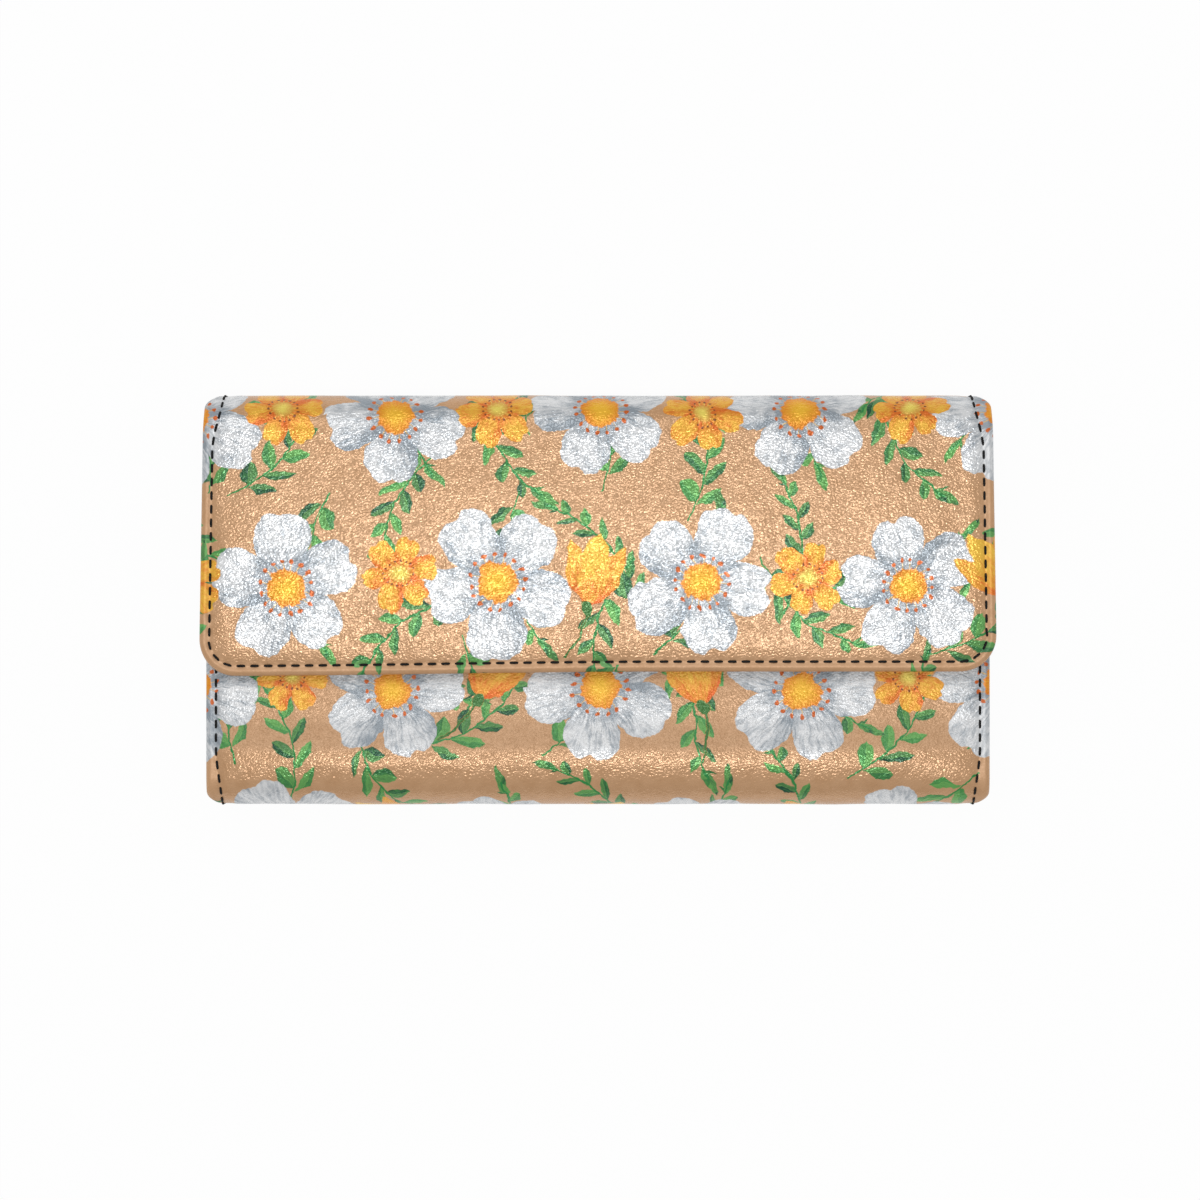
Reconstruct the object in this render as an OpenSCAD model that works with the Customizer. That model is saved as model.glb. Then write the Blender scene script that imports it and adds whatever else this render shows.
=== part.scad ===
// Long flap wallet, shut and lying on its back.
// +X runs across the wallet, +Y from the bottom fold to the top fold, +Z out of the front.
// The origin is under the middle of the wallet, on the surface that it lies on.
// One printed sheet makes the whole cover: front wall, bottom, back wall, top strip and flap.
// Each fold of that sheet is a node of its own, because it bends while its neighbours stay flat.

/* [Body] */
// Width of the body between its side edges
body_w = 192; // [178:1:208]
// Height from the bottom fold to the top fold
body_h = 100; // [95:1:112]
// Distance from the top fold down to the mouth edge of the front wall
mouth_drop = 14; // [13:0.5:17]
// Clear depth of each note compartment
compartment_t = 4.3; // [4.2:0.1:6]

/* [Sheets] */
// Thickness of the printed cover leather
leather_t = 0.9; // [0.7:0.05:1.1]
// Thickness of the stiffening boards
board_t = 0.7; // [0.6:0.05:1]
// Thickness of the lining fabric
lining_t = 0.4; // [0.3:0.05:0.6]
// Thickness of one card pocket sheet
card_sheet_t = 0.4; // [0.3:0.05:0.5]
// Thickness of the side gusset leather
gusset_t = 0.5; // [0.4:0.05:0.6]

/* [Folds] */
// Outer radius of the fold between the top strip and the flap
front_fold_r = 9; // [7:0.5:10]
// Outer radius of the fold between the back wall and the top strip
rear_fold_r = 6; // [5:0.5:7]
// Outer radius of the bottom fold where it meets the front wall
bottom_front_r = 7; // [5:0.5:8]
// Outer radius of the bottom fold where it meets the back wall
bottom_back_r = 5; // [4:0.5:6]
// Radius that rounds the ends of the top and bottom folds, seen from the front
fold_end_r = 2.5; // [1:0.5:4]

/* [Flap] */
// Distance from the top fold down to the lower edge of the flap
flap_drop = 67.5; // [60:0.5:75]
// How far the flap stands out past each side of the body at its lower edge
flap_overhang = 1.5; // [1:0.25:3]
// How much narrower each side of the flap is at the top fold
flap_taper = 1; // [0:0.25:1]
// Radius of the flap's lower corners
flap_corner_r = 9; // [5:0.5:14]
// Space between the front wall and the flap, which the snap fills
flap_gap = 2.8; // [2.8:0.1:4]

/* [Card slots] */
// Step between the top edges of neighbouring card pockets
tier_step = 12; // [10:0.5:13]
// Height of the full-width band at the top of a card pocket
tier_band = 9; // [7:0.5:10]
// How far the narrow part of a card pocket keeps clear of its column's edges
tier_inset = 5; // [3:0.5:7]
// How deep a card sits in its pocket
tier_depth = 45; // [40:1:50]
// Distance of the card pockets from each side edge of the body
bank_inset = 7; // [7:0.5:10]

/* [Gussets] */
// How far a gusset folds in from the side edge
gusset_depth = 13; // [11:0.5:15]
// Width of the strip of gusset that is sewn to each wall
gusset_tab = 5; // [3:0.5:5]
// Distance of the outer folds of a gusset from the side edge of the body
gusset_set_in = 1; // [0.8:0.05:1.1]
// How far a gusset's mouth reaches above the front wall's mouth edge, at the back wall
gusset_rise = 4; // [0:0.5:6]
// How far a gusset's mouth stays below the front wall's mouth edge, at the front wall
gusset_fall = 2; // [1:0.5:4]

/* [Coin pocket] */
// Thickness of the coin pocket, over its walls
coin_pocket_t = 5; // [4.8:0.1:6]
// Thickness of a coin pocket wall
pocket_wall_t = 0.6; // [0.4:0.05:0.7]
// Width of the sewn seam along each side of the coin pocket
pocket_seam_w = 4.5; // [3:0.5:6]
// Width of the slope from the seam to the full thickness
pocket_slope_w = 6; // [4:0.5:8]
// Distance from the front wall's mouth edge down to the coin pocket's top edge
zip_drop = 8; // [7:0.5:12]

/* [Zip] */
// Distance between neighbouring teeth of one row
tooth_pitch = 2; // [1.8:0.1:2.4]
// Height of a tooth
tooth_h = 1.4; // [1.2:0.1:1.6]
// How far a tooth reaches past the middle of the chain
tooth_overlap = 0.35; // [0.2:0.05:0.5]
// Distance from each side edge of the body to the end of the chain
zip_inset = 20; // [18:1:28]
// Thickness of the zip tape
tape_t = 0.4; // [0.3:0.05:0.5]
// Width of the zip tape inside the coin pocket
tape_w = 9; // [6:0.5:12]
// Length of the slider
slider_l = 9; // [8:0.5:10]
// Width of the slider
slider_w = 6.4; // [6.2:0.1:7.4]
// Thickness of the slider's plates
slider_plate_t = 0.8; // [0.6:0.05:1]
// Length of the pull from its pin to its tip
pull_l = 13; // [10:0.5:14]
// Width of the pull
pull_w = 4.4; // [4:0.1:5]
// Thickness of the pull
pull_t = 0.9; // [0.7:0.05:1.1]

/* [Snap] */
// Diameter of the two halves of the magnetic snap
snap_d = 14; // [12:0.5:16]
// Height of the socket on the front wall
socket_h = 1.9; // [1.7:0.1:2]
// Thickness of the stud's flange
flange_t = 0.5; // [0.4:0.05:0.6]
// Diameter of the stud's post
post_d = 3.8; // [3:0.1:5]
// Distance from the flap's lower edge up to the middle of the snap
snap_rise = 13; // [11:0.5:20]

/* [Hidden] */
$fn = 48;
TIERS = 3;

// Colours
print_ground = [0.79, 0.62, 0.46];
lining_black = [0.09, 0.09, 0.1];
leather_black = [0.13, 0.13, 0.14];
board_grey = [0.62, 0.58, 0.5];
tape_black = [0.07, 0.07, 0.08];
nickel = [0.78, 0.77, 0.74];
ferrite = [0.22, 0.22, 0.24];

// Levels up through the shut wallet
wall_t = leather_t + board_t + lining_t;
bank_t = (TIERS + 1) * card_sheet_t;
z_pocket = wall_t + bank_t + compartment_t;
z_mid = z_pocket + coin_pocket_t / 2;
z_front_wall = 2 * z_mid - wall_t;
z_face = z_front_wall + wall_t;
z_flap = z_face + flap_gap;
z_top = z_flap + wall_t;

// Levels along the height of the wallet
y_top = body_h / 2;
y_bottom = -body_h / 2;
y_mouth = y_top - mouth_drop;
y_back_top = y_top - rear_fold_r;
y_back_bottom = y_bottom + bottom_back_r;
y_front_bottom = y_bottom + bottom_front_r;
y_flap_top = y_top - front_fold_r;
y_flap_bottom = y_top - flap_drop;
y_snap = y_flap_bottom + snap_rise;
z_strip_foot = rear_fold_r;

// Sheets that lie inside a turned edge keep this far from it
fit = 0.05;
inner_half_w = body_w / 2 - leather_t - fit;

// Card pockets
bank_half_w = body_w / 2 - bank_inset;
bank_bottom = y_bottom + max(bottom_back_r, bottom_front_r) + 1;
rear_bank_top = y_mouth + 2;
front_bank_top = y_mouth - 4;

// Coin pocket and zip
pocket_half_w = body_w / 2 - gusset_set_in - gusset_t / 2 - 0.35;
y_pocket_top = y_mouth - zip_drop;
y_pocket_bottom = y_bottom + wall_t + 3;
tape_face = coin_pocket_t / 2 - pocket_wall_t;
chain_half = tape_face - tape_t - fit;
jaw_w = 0.45;
y_chain = y_pocket_top + tooth_h / 2 + 0.6;
x_chain = body_w / 2 - zip_inset;
tooth_w = tooth_pitch / 2 - 0.1;
tooth_count = floor((2 * x_chain - tooth_w) / tooth_pitch);

// Slider, with its middle at the shut end of the chain
slider_gap = 0.25;
x_slider = x_chain - 1;
slider_top = y_chain + tooth_h / 2 + slider_gap + slider_plate_t;
neck_w = 1.6;
neck_l = 2;
neck_start = x_chain + 0.5;
pin_r = 0.5;
pin_rise = 1.4;
y_pin = slider_top + pin_rise;
lug_w = 1.6;
lug_r = 1.15;
running_gap = 0.06;
side_gap = 0.15;
stop_l = 1.2;
stop_gap = 0.4;

// Snap
shell_t = 0.4;
washer_t = 0.35;
leg_w = 3;
leg_t = 0.5;
leg_x = 3.8;
leg_bend = 1.6;
leg_bend_t = board_t - washer_t - fit;
post_gap = 0.7;

// ---------------------------------------------------------------- helpers

// Extrudes a section drawn in Y and Z along X.
module along_x(x0, x1) translate([x0, 0, 0]) rotate([90, 0, 90]) linear_extrude(x1 - x0) children();

// Extrudes a section drawn in X and Z along Y.
module along_y(y0, y1) translate([0, y1, 0]) rotate([90, 0, 0]) linear_extrude(y1 - y0) children();

// Extrudes an outline drawn in X and Y along Z.
module along_z(z0, z1) translate([0, 0, z0]) linear_extrude(z1 - z0) children();

module both_sides() for (side = [0, 1]) mirror([side, 0, 0]) children();

// Quarter of a ring: the part of a fold that lies between two depths below its outer face.
module fold_layer(centre, r, turn, depth_0, depth_1)
    translate(centre)
        intersection() {
            difference() {
                circle(r - depth_0);
                circle(r - depth_1);
            }
            rotate(turn) square(r);
        }

// A flat sheet with a turned edge at each end: children(0) is the sheet, children(1) the turned edge.
module turned_sheet(half_w) {
    along_x(-half_w, half_w) children(0);
    both_sides() along_x(half_w - leather_t, half_w) children(1);
}

// Outline of the shut wallet from the front, which rounds the ends of its folds.
module plan_outline(w) {
    h = y_top - y_bottom;
    translate([-w / 2 + fold_end_r, y_bottom]) square([w - 2 * fold_end_r, h]);
    translate([-w / 2, y_bottom + fold_end_r]) square([w, h - 2 * fold_end_r]);
    for (x = [-1, 1], y = [-1, 1])
        translate([x * (w / 2 - fold_end_r), y * (h / 2 - fold_end_r)]) circle(fold_end_r);
}

module rounded_ends(w)
    intersection() {
        children();
        along_z(-1, z_top + 1) plan_outline(w);
    }

// Section of a flat layer, drawn in Y and Z.
module flat_layer(y0, y1, z0, z1) translate([y0, z0]) square([y1 - y0, z1 - z0]);

module flat_sheet(half_w, y0, y1, z0, z1) along_x(-half_w, half_w) flat_layer(y0, y1, z0, z1);

// ---------------------------------------------------------------- back wall and bottom

module cover_back()
    color(print_ground) turned_sheet(body_w / 2) {
        flat_layer(y_back_bottom, y_back_top, 0, leather_t);
        flat_layer(y_back_bottom, y_back_top, 0, wall_t);
    }

module back_board()
    color(board_grey)
        flat_sheet(inner_half_w, y_back_bottom, y_back_top, leather_t, leather_t + board_t);

module back_lining()
    color(lining_black) flat_sheet(inner_half_w, y_back_bottom, y_back_top, wall_t - lining_t, wall_t);

// The bottom of the wallet in section, between two depths below its outer face.
module bottom_section(depth_0, depth_1) {
    fold_layer([y_back_bottom, bottom_back_r], bottom_back_r, 180, depth_0, depth_1);
    fold_layer([y_front_bottom, z_face - bottom_front_r], bottom_front_r, 90, depth_0, depth_1);
    flat_layer(y_bottom + depth_0, y_bottom + depth_1, bottom_back_r, z_face - bottom_front_r);
}

module cover_bottom_fold()
    color(print_ground) rounded_ends(body_w) turned_sheet(body_w / 2) {
        bottom_section(0, leather_t);
        bottom_section(0, wall_t);
    }

module bottom_board()
    color(board_grey)
        flat_sheet(inner_half_w - fold_end_r, y_bottom + leather_t, y_bottom + leather_t + board_t,
                   bottom_back_r, z_face - bottom_front_r);

module lining_bottom_fold()
    color(lining_black)
        along_x(-inner_half_w, inner_half_w) bottom_section(wall_t - lining_t, wall_t);

// ---------------------------------------------------------------- card pockets

// A card pocket sheet: a band right across, and one narrower leaf for each of its two columns.
module tier_outline(top, bottom) {
    column_w = bank_half_w;
    translate([-bank_half_w, top - tier_band]) square([2 * bank_half_w, tier_band]);
    for (x = [-column_w, 0])
        translate([x + tier_inset, bottom]) square([column_w - 2 * tier_inset, top - bottom - tier_band + fit]);
}

// The last sheet is the one you see in full, so it runs down to the bottom as a plain rectangle.
module last_tier_outline(top)
    translate([-bank_half_w, bank_bottom]) square([2 * bank_half_w, top - bank_bottom]);

module card_tier(index, bank_top, z0)
    color(leather_black) along_z(z0, z0 + card_sheet_t) {
        top = bank_top - index * tier_step;
        if (index < TIERS) tier_outline(top, max(bank_bottom, top - tier_depth));
        else last_tier_outline(top);
    }

module rear_card_panel()
    color(lining_black)
        flat_sheet(bank_half_w, bank_bottom, rear_bank_top, wall_t, wall_t + card_sheet_t);

module rear_card_tier(index) card_tier(index, rear_bank_top, wall_t + index * card_sheet_t);

module front_card_panel()
    color(lining_black)
        flat_sheet(bank_half_w, bank_bottom, front_bank_top, z_front_wall - card_sheet_t, z_front_wall);

module front_card_tier(index)
    card_tier(index, front_bank_top, z_front_wall - (index + 1) * card_sheet_t);

// ---------------------------------------------------------------- gussets

function unit(v) = v / norm(v);
function side_of(a, b) = let (d = unit(b - a)) [-d.y, d.x];
function mitre(p, i) =
    i == 0 ? side_of(p[0], p[1])
    : i == len(p) - 1 ? side_of(p[i - 1], p[i])
    : let (a = side_of(p[i - 1], p[i]), b = side_of(p[i], p[i + 1])) (a + b) / (1 + a * b);

// Outline of a sheet of thickness t whose middle follows the points p.
function ribbon(p, t) = concat(
    [for (i = [0 : len(p) - 1]) p[i] + mitre(p, i) * t / 2],
    [for (i = [len(p) - 1 : -1 : 0]) p[i] - mitre(p, i) * t / 2]);

// Half of a gusset in X and Z, from the tab on the back wall to the middle of the wallet.
gusset_x = body_w / 2 - gusset_set_in;
pleat_z = (wall_t + z_mid) / 2;
pleat_turn = 0.8;
gusset_half = [
    [gusset_x - gusset_tab, wall_t + gusset_t / 2],
    [gusset_x, wall_t + gusset_t / 2],
    [gusset_x, wall_t + gusset_t / 2 + pleat_turn],
    [body_w / 2 - gusset_depth, pleat_z - pleat_turn / 2],
    [body_w / 2 - gusset_depth, pleat_z + pleat_turn / 2],
    [gusset_x, z_mid - pocket_wall_t - gusset_t]];
gusset_path = concat(gusset_half, [for (i = [5 : -1 : 0]) [gusset_half[i].x, 2 * z_mid - gusset_half[i].y]]);

// The space between the walls in Y and Z, which trims a gusset at its bottom and its sloping mouth.
module inside_section() {
    y_inner = y_bottom + wall_t + fit;
    translate([y_back_bottom, bottom_back_r]) circle(bottom_back_r - wall_t - fit);
    translate([y_front_bottom, z_face - bottom_front_r]) circle(bottom_front_r - wall_t - fit);
    polygon([
        [y_inner, bottom_back_r], [y_back_bottom, bottom_back_r], [y_back_bottom, wall_t],
        [y_mouth + gusset_rise, wall_t], [y_mouth - gusset_fall, z_front_wall],
        [y_front_bottom, z_front_wall], [y_front_bottom, z_face - bottom_front_r],
        [y_inner, z_face - bottom_front_r]]);
}

module gusset()
    color(leather_black) intersection() {
        along_y(y_bottom, y_top) polygon(ribbon(gusset_path, gusset_t));
        along_x(0, body_w) inside_section();
    }

module right_gusset() gusset();

module left_gusset() mirror([1, 0, 0]) gusset();

// ---------------------------------------------------------------- front wall

module cover_front()
    color(print_ground) difference() {
        union() {
            turned_sheet(body_w / 2) {
                flat_layer(y_front_bottom, y_mouth, z_face - leather_t, z_face);
                flat_layer(y_front_bottom, y_mouth, z_front_wall, z_face);
            }
            flat_sheet(body_w / 2, y_mouth - leather_t, y_mouth, z_front_wall, z_face);
        }
        along_z(z_front_wall, z_face + 1) leg_slots();
    }

module front_board()
    color(board_grey) difference() {
        flat_sheet(inner_half_w, y_front_bottom, y_mouth - leather_t - fit,
                   z_front_wall + lining_t, z_face - leather_t);
        along_z(z_front_wall, z_face) washer_outline(0.2);
    }

module front_lining()
    color(lining_black)
        flat_sheet(inner_half_w, y_front_bottom, y_mouth - leather_t - fit,
                   z_front_wall, z_front_wall + lining_t);

// ---------------------------------------------------------------- magnetic snap

module leg_slots()
    for (side = [-1, 1])
        translate([side * leg_x - leg_t / 2 - fit, y_snap - leg_w / 2 - fit])
            square([leg_t + 2 * fit, leg_w + 2 * fit]);

module washer_outline(grow = 0) translate([0, y_snap]) circle(snap_d / 2 - 0.4 + grow);

// Two legs that run from z0 to z1 and are bent outwards over the washer at the z1 end.
module legs(z0, z1) {
    up = sign(z1 - z0);
    for (side = [0, 1])
        mirror([side, 0, 0]) {
            translate([leg_x - leg_t / 2, y_snap - leg_w / 2, min(z0, z1)])
                cube([leg_t, leg_w, abs(z1 - z0)]);
            translate([leg_x - leg_t / 2, y_snap - leg_w / 2, up > 0 ? z1 - leg_bend_t : z1])
                cube([leg_bend, leg_w, leg_bend_t]);
        }
}

module washer(z0)
    color(nickel) along_z(z0, z0 + washer_t)
        difference() {
            washer_outline();
            leg_slots();
        }

module snap_socket_case()
    color(nickel) translate([0, y_snap, z_face])
        difference() {
            cylinder(d = snap_d, h = socket_h);
            translate([0, 0, -1]) cylinder(d = snap_d - 2 * shell_t, h = socket_h - shell_t + 1);
            cylinder(d = post_d + 2 * post_gap, h = socket_h + 1);
        }

module snap_magnet()
    color(ferrite) translate([0, y_snap, z_face + shell_t + fit])
        difference() {
            cylinder(d = snap_d - 2 * shell_t - 2 * fit, h = socket_h - 2 * shell_t - 2 * fit);
            translate([0, 0, -1]) cylinder(d = post_d + 2 * post_gap + 0.2, h = socket_h + 2);
        }

module snap_socket_base()
    color(nickel) {
        translate([0, y_snap, z_face]) cylinder(d = snap_d - 2 * shell_t - 2 * fit, h = shell_t);
        legs(z_face, z_face - leather_t - board_t + fit);
    }

module snap_socket_washer() washer(z_face - leather_t - washer_t);

module snap_stud()
    color(nickel) {
        translate([0, y_snap, z_flap - flange_t]) cylinder(d = snap_d - 1, h = flange_t);
        translate([0, y_snap, z_face + shell_t + 0.3])
            cylinder(d = post_d, h = flap_gap - flange_t - shell_t - 0.3);
        legs(z_flap - fit, z_flap + lining_t + board_t - fit);
    }

module snap_stud_washer() washer(z_flap + lining_t);

// ---------------------------------------------------------------- coin pocket

// Rear wall of the coin pocket in X and Z, measured from the middle of the pocket.
slope_x = pocket_half_w - pocket_seam_w - pocket_slope_w;
seam_x = pocket_half_w - pocket_seam_w;
half_t = coin_pocket_t / 2;
pocket_outer = [
    [pocket_half_w, 0], [pocket_half_w, -pocket_wall_t], [seam_x, -pocket_wall_t], [slope_x, -half_t],
    [-slope_x, -half_t], [-seam_x, -pocket_wall_t], [-pocket_half_w, -pocket_wall_t], [-pocket_half_w, 0]];
pocket_inner = [
    [-seam_x, 0], [-slope_x, pocket_wall_t - half_t], [slope_x, pocket_wall_t - half_t], [seam_x, 0]];

module coin_pocket_half()
    color(lining_black) {
        along_y(y_pocket_bottom, y_pocket_top) polygon(concat(pocket_outer, pocket_inner));
        along_y(y_pocket_bottom, y_pocket_bottom + pocket_wall_t) polygon(pocket_outer);
    }

module coin_pocket_rear() translate([0, 0, z_mid]) coin_pocket_half();

module coin_pocket_front() translate([0, 0, z_mid]) mirror([0, 0, 1]) coin_pocket_half();

// ---------------------------------------------------------------- zip

// Rear tape in Y and Z: down the inside of the pocket wall, and in to the chain at the top.
module tape_section() {
    flat_layer(y_pocket_top - tape_w, y_chain + tape_t / 2, -tape_face, tape_t - tape_face);
    flat_layer(y_chain - tape_t / 2, y_chain + tape_t / 2, -tape_face, jaw_w - chain_half);
}

module zip_tape() color(tape_black) along_x(-slope_x, slope_x) tape_section();

module zip_tape_rear() translate([0, 0, z_mid]) zip_tape();

module zip_tape_front() translate([0, 0, z_mid]) mirror([0, 0, 1]) zip_tape();

// A tooth from above, in X and Z: jaws on the tape, a waist, and a head that meshes.
module tooth_outline()
    polygon([
        [-tooth_w / 2, -chain_half], [tooth_w / 2, -chain_half], [tooth_w / 2, -0.35],
        [tooth_w / 3, -0.1], [tooth_w / 2, 0.1], [tooth_w / 4, tooth_overlap],
        [-tooth_w / 4, tooth_overlap], [-tooth_w / 2, 0.1], [-tooth_w / 3, -0.1], [-tooth_w / 2, -0.35]]);

module tooth()
    difference() {
        along_y(y_chain - tooth_h / 2, y_chain + tooth_h / 2) tooth_outline();
        translate([-tooth_w, y_chain - tape_t / 2, -chain_half - 1])
            cube([2 * tooth_w, tape_t, jaw_w + 1]);
    }

// One row of teeth: the first tooth lies at the shut end of the chain.
module tooth_row(shift)
    color(nickel)
        for (i = [0 : tooth_count - 1])
            translate([x_chain - tooth_w / 2 - i * tooth_pitch - shift, 0, 0]) tooth();

module zip_teeth_rear() translate([0, 0, z_mid]) tooth_row(0);

module zip_teeth_front() translate([0, 0, z_mid]) mirror([0, 0, 1]) tooth_row(tooth_pitch / 2);

// A clip that closes round the edge of one tape.
module tape_clip()
    difference() {
        along_y(y_chain - tooth_h / 2, y_chain + tooth_h / 2)
            translate([0, -chain_half]) square([stop_l, chain_half - neck_w / 2 + 0.35]);
        translate([-1, y_chain - tape_t / 2, -chain_half - 1]) cube([stop_l + 2, tape_t, jaw_w + 1]);
    }

module zip_top_stops()
    color(nickel)
        for (side = [0, 1])
            translate([x_slider + slider_l / 2 + stop_gap, 0, z_mid]) mirror([0, 0, side]) tape_clip();

module zip_bottom_stop()
    color(nickel)
        translate([0, 0, z_mid]) difference() {
            along_y(y_chain - tooth_h / 2, y_chain + tooth_h / 2)
                translate([-x_chain - stop_l, -chain_half]) square([stop_l, 2 * chain_half]);
            for (side = [0, 1])
                mirror([0, 0, side])
                    translate([-x_chain - stop_l - 1, y_chain - tape_t / 2, -chain_half - 1])
                        cube([stop_l + 2, tape_t, jaw_w + 1]);
        }

// Outer plate of the slider from above: narrow where the chain is shut, wide where it parts.
module slider_outline() {
    l = slider_l / 2;
    w = slider_w / 2;
    polygon([[-l, -w * 0.72], [-l * 0.1, -w], [l * 0.75, -w], [l, -w * 0.7],
             [l, w * 0.7], [l * 0.75, w], [-l * 0.1, w], [-l, w * 0.72]]);
}

module zip_slider()
    color(nickel) translate([x_slider, 0, z_mid])
        difference() {
            union() {
                along_y(slider_top - slider_plate_t, slider_top) slider_outline();
                slider_flanges();
                slider_inner_plate();
                slider_neck();
                slider_lug();
            }
            translate([0, y_pin, -lug_w]) cylinder(r = pin_r + running_gap, h = 2 * lug_w);
        }

// Side flanges, which hang from the outer plate just outside the pocket walls.
module slider_flanges()
    for (side = [0, 1])
        mirror([0, 0, side])
            translate([-slider_l * 0.05, y_chain, coin_pocket_t / 2 + 0.15])
                cube([slider_l * 0.42, slider_top - y_chain, slider_w / 2 - coin_pocket_t / 2 - 0.15]);

module slider_inner_plate()
    translate([-slider_l / 2, y_chain - tooth_h / 2 - slider_gap - slider_plate_t, 0.2 - chain_half])
        cube([slider_l - 0.5, slider_plate_t, 2 * (chain_half - 0.2)]);

// The wedge between the two plates, just past the last tooth.
module slider_neck()
    translate([neck_start - x_slider, y_chain - tooth_h / 2 - slider_gap - fit, -neck_w / 2])
        cube([neck_l, tooth_h + 2 * slider_gap + 2 * fit, neck_w]);

module slider_lug()
    translate([0, 0, -lug_w / 2]) {
        translate([-lug_r, slider_top - fit, 0]) cube([2 * lug_r, pin_rise + fit, lug_w]);
        translate([0, y_pin, 0]) cylinder(r = lug_r, h = lug_w);
    }

// The pull at rest lies flat along the shut chain, with its pin across the slider's lug.
module zip_pull()
    color(nickel) translate([x_slider, y_pin, z_mid]) {
        translate([0, 0, -pull_w / 2]) cylinder(r = pin_r, h = pull_w);
        along_y(-pull_t / 2, pull_t / 2) difference() {
            pull_outline();
            translate([-2 * lug_r, -lug_w / 2 - side_gap])
                square([2 * lug_r + pull_t + 1, lug_w + 2 * side_gap]);
            translate([-pull_l + pull_w / 2 + 0.4, 0]) circle(pull_w / 5);
        }
    }

module pull_outline() {
    translate([-pull_l + pull_w / 2, 0]) circle(pull_w / 2);
    translate([-pull_l + pull_w / 2, -pull_w / 2])
        square([pull_l - pull_w / 2 + pull_t / 2, pull_w]);
}

// ---------------------------------------------------------------- top strip and flap

flap_top_w = body_w + 2 * (flap_overhang - flap_taper);
flap_bottom_w = body_w + 2 * flap_overhang;

module rear_fold_section(depth_0, depth_1)
    fold_layer([y_back_top, rear_fold_r], rear_fold_r, 270, depth_0, depth_1);

module strip_section(depth_0, depth_1)
    flat_layer(y_top - depth_1, y_top - depth_0, z_strip_foot, z_top - front_fold_r);

module front_fold_section(depth_0, depth_1)
    fold_layer([y_flap_top, z_top - front_fold_r], front_fold_r, 0, depth_0, depth_1);

module cover_rear_fold()
    color(print_ground) rounded_ends(body_w) turned_sheet(body_w / 2) {
        rear_fold_section(0, leather_t);
        rear_fold_section(0, wall_t);
    }

module lining_rear_fold()
    color(lining_black)
        along_x(-inner_half_w, inner_half_w) rear_fold_section(wall_t - lining_t, wall_t);

module cover_top_strip()
    color(print_ground) rounded_ends(body_w) turned_sheet(body_w / 2) {
        strip_section(0, leather_t);
        strip_section(0, wall_t);
    }

module top_strip_board()
    color(board_grey)
        along_x(fold_end_r - inner_half_w, inner_half_w - fold_end_r)
            strip_section(leather_t, leather_t + board_t);

module lining_top_strip()
    color(lining_black)
        along_x(-inner_half_w, inner_half_w) strip_section(wall_t - lining_t, wall_t);

module cover_front_fold()
    color(print_ground) rounded_ends(flap_top_w) turned_sheet(flap_top_w / 2) {
        front_fold_section(0, leather_t);
        front_fold_section(0, wall_t);
    }

module lining_front_fold()
    color(lining_black)
        along_x(-inner_half_w, inner_half_w) front_fold_section(wall_t - lining_t, wall_t);

// Outline of the flap, drawn inset from its edge, with its lower corners as arcs.
function corner_arc(side, inset) =
    [for (i = [0 : 12])
        let (a = -90 + side * i * 7.5, r = flap_corner_r - inset)
            [side * (flap_bottom_w / 2 - flap_corner_r), y_flap_bottom + flap_corner_r]
                + r * [cos(a), sin(a)]];
function reversed(p) = [for (i = [len(p) - 1 : -1 : 0]) p[i]];
function flap_points(inset) = concat(
    [[flap_top_w / 2 - inset, y_flap_top]], reversed(corner_arc(1, inset)),
    corner_arc(-1, inset), [[inset - flap_top_w / 2, y_flap_top]]);

module cover_flap()
    color(print_ground) {
        along_z(z_top - leather_t, z_top) polygon(flap_points(0));
        along_z(z_flap, z_top - leather_t) difference() {
            polygon(flap_points(0));
            polygon(flap_points(leather_t));
        }
    }

module flap_board()
    color(board_grey) difference() {
        along_z(z_flap + lining_t, z_top - leather_t) polygon(flap_points(leather_t + fit));
        along_z(z_flap, z_top) washer_outline(0.2);
    }

module flap_lining()
    color(lining_black) difference() {
        along_z(z_flap, z_flap + lining_t) polygon(flap_points(leather_t + fit));
        along_z(z_flap - 1, z_top) leg_slots();
    }

// ---------------------------------------------------------------- nodes

cover_back();
back_board();
back_lining();
rear_card_panel();
rear_card_tier(1);  // rear_card_tier_1
rear_card_tier(2);  // rear_card_tier_2
rear_card_tier(3);  // rear_card_tier_3
cover_bottom_fold();
bottom_board();
lining_bottom_fold();
cover_rear_fold();
lining_rear_fold();
left_gusset();
right_gusset();
cover_front();
front_board();
front_lining();
front_card_panel();
front_card_tier(1);  // front_card_tier_1
front_card_tier(2);  // front_card_tier_2
front_card_tier(3);  // front_card_tier_3
snap_socket_case();
snap_magnet();
snap_socket_base();
snap_socket_washer();
coin_pocket_rear();
coin_pocket_front();
zip_tape_rear();
zip_tape_front();
zip_teeth_rear();
zip_teeth_front();
zip_top_stops();
zip_bottom_stop();
zip_slider();
zip_pull();
cover_top_strip();
top_strip_board();
lining_top_strip();
cover_front_fold();
lining_front_fold();
cover_flap();
flap_board();
flap_lining();
snap_stud();
snap_stud_washer();
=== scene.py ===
# %% [markdown]
# # A long flap wallet in printed leather
# One printed sheet makes the whole cover of this wallet. The sheet starts at the lower edge of the flap,
# runs up and over the top, down the back, round the bottom and up the front wall to the mouth. Inside are
# a lining, stiffening boards, two banks of card pockets, pleated gussets and a zipped coin pocket.
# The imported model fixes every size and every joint. This script gives each piece its real surface.

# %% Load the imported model
import math

import bpy
import numpy as np
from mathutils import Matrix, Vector, noise


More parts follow.
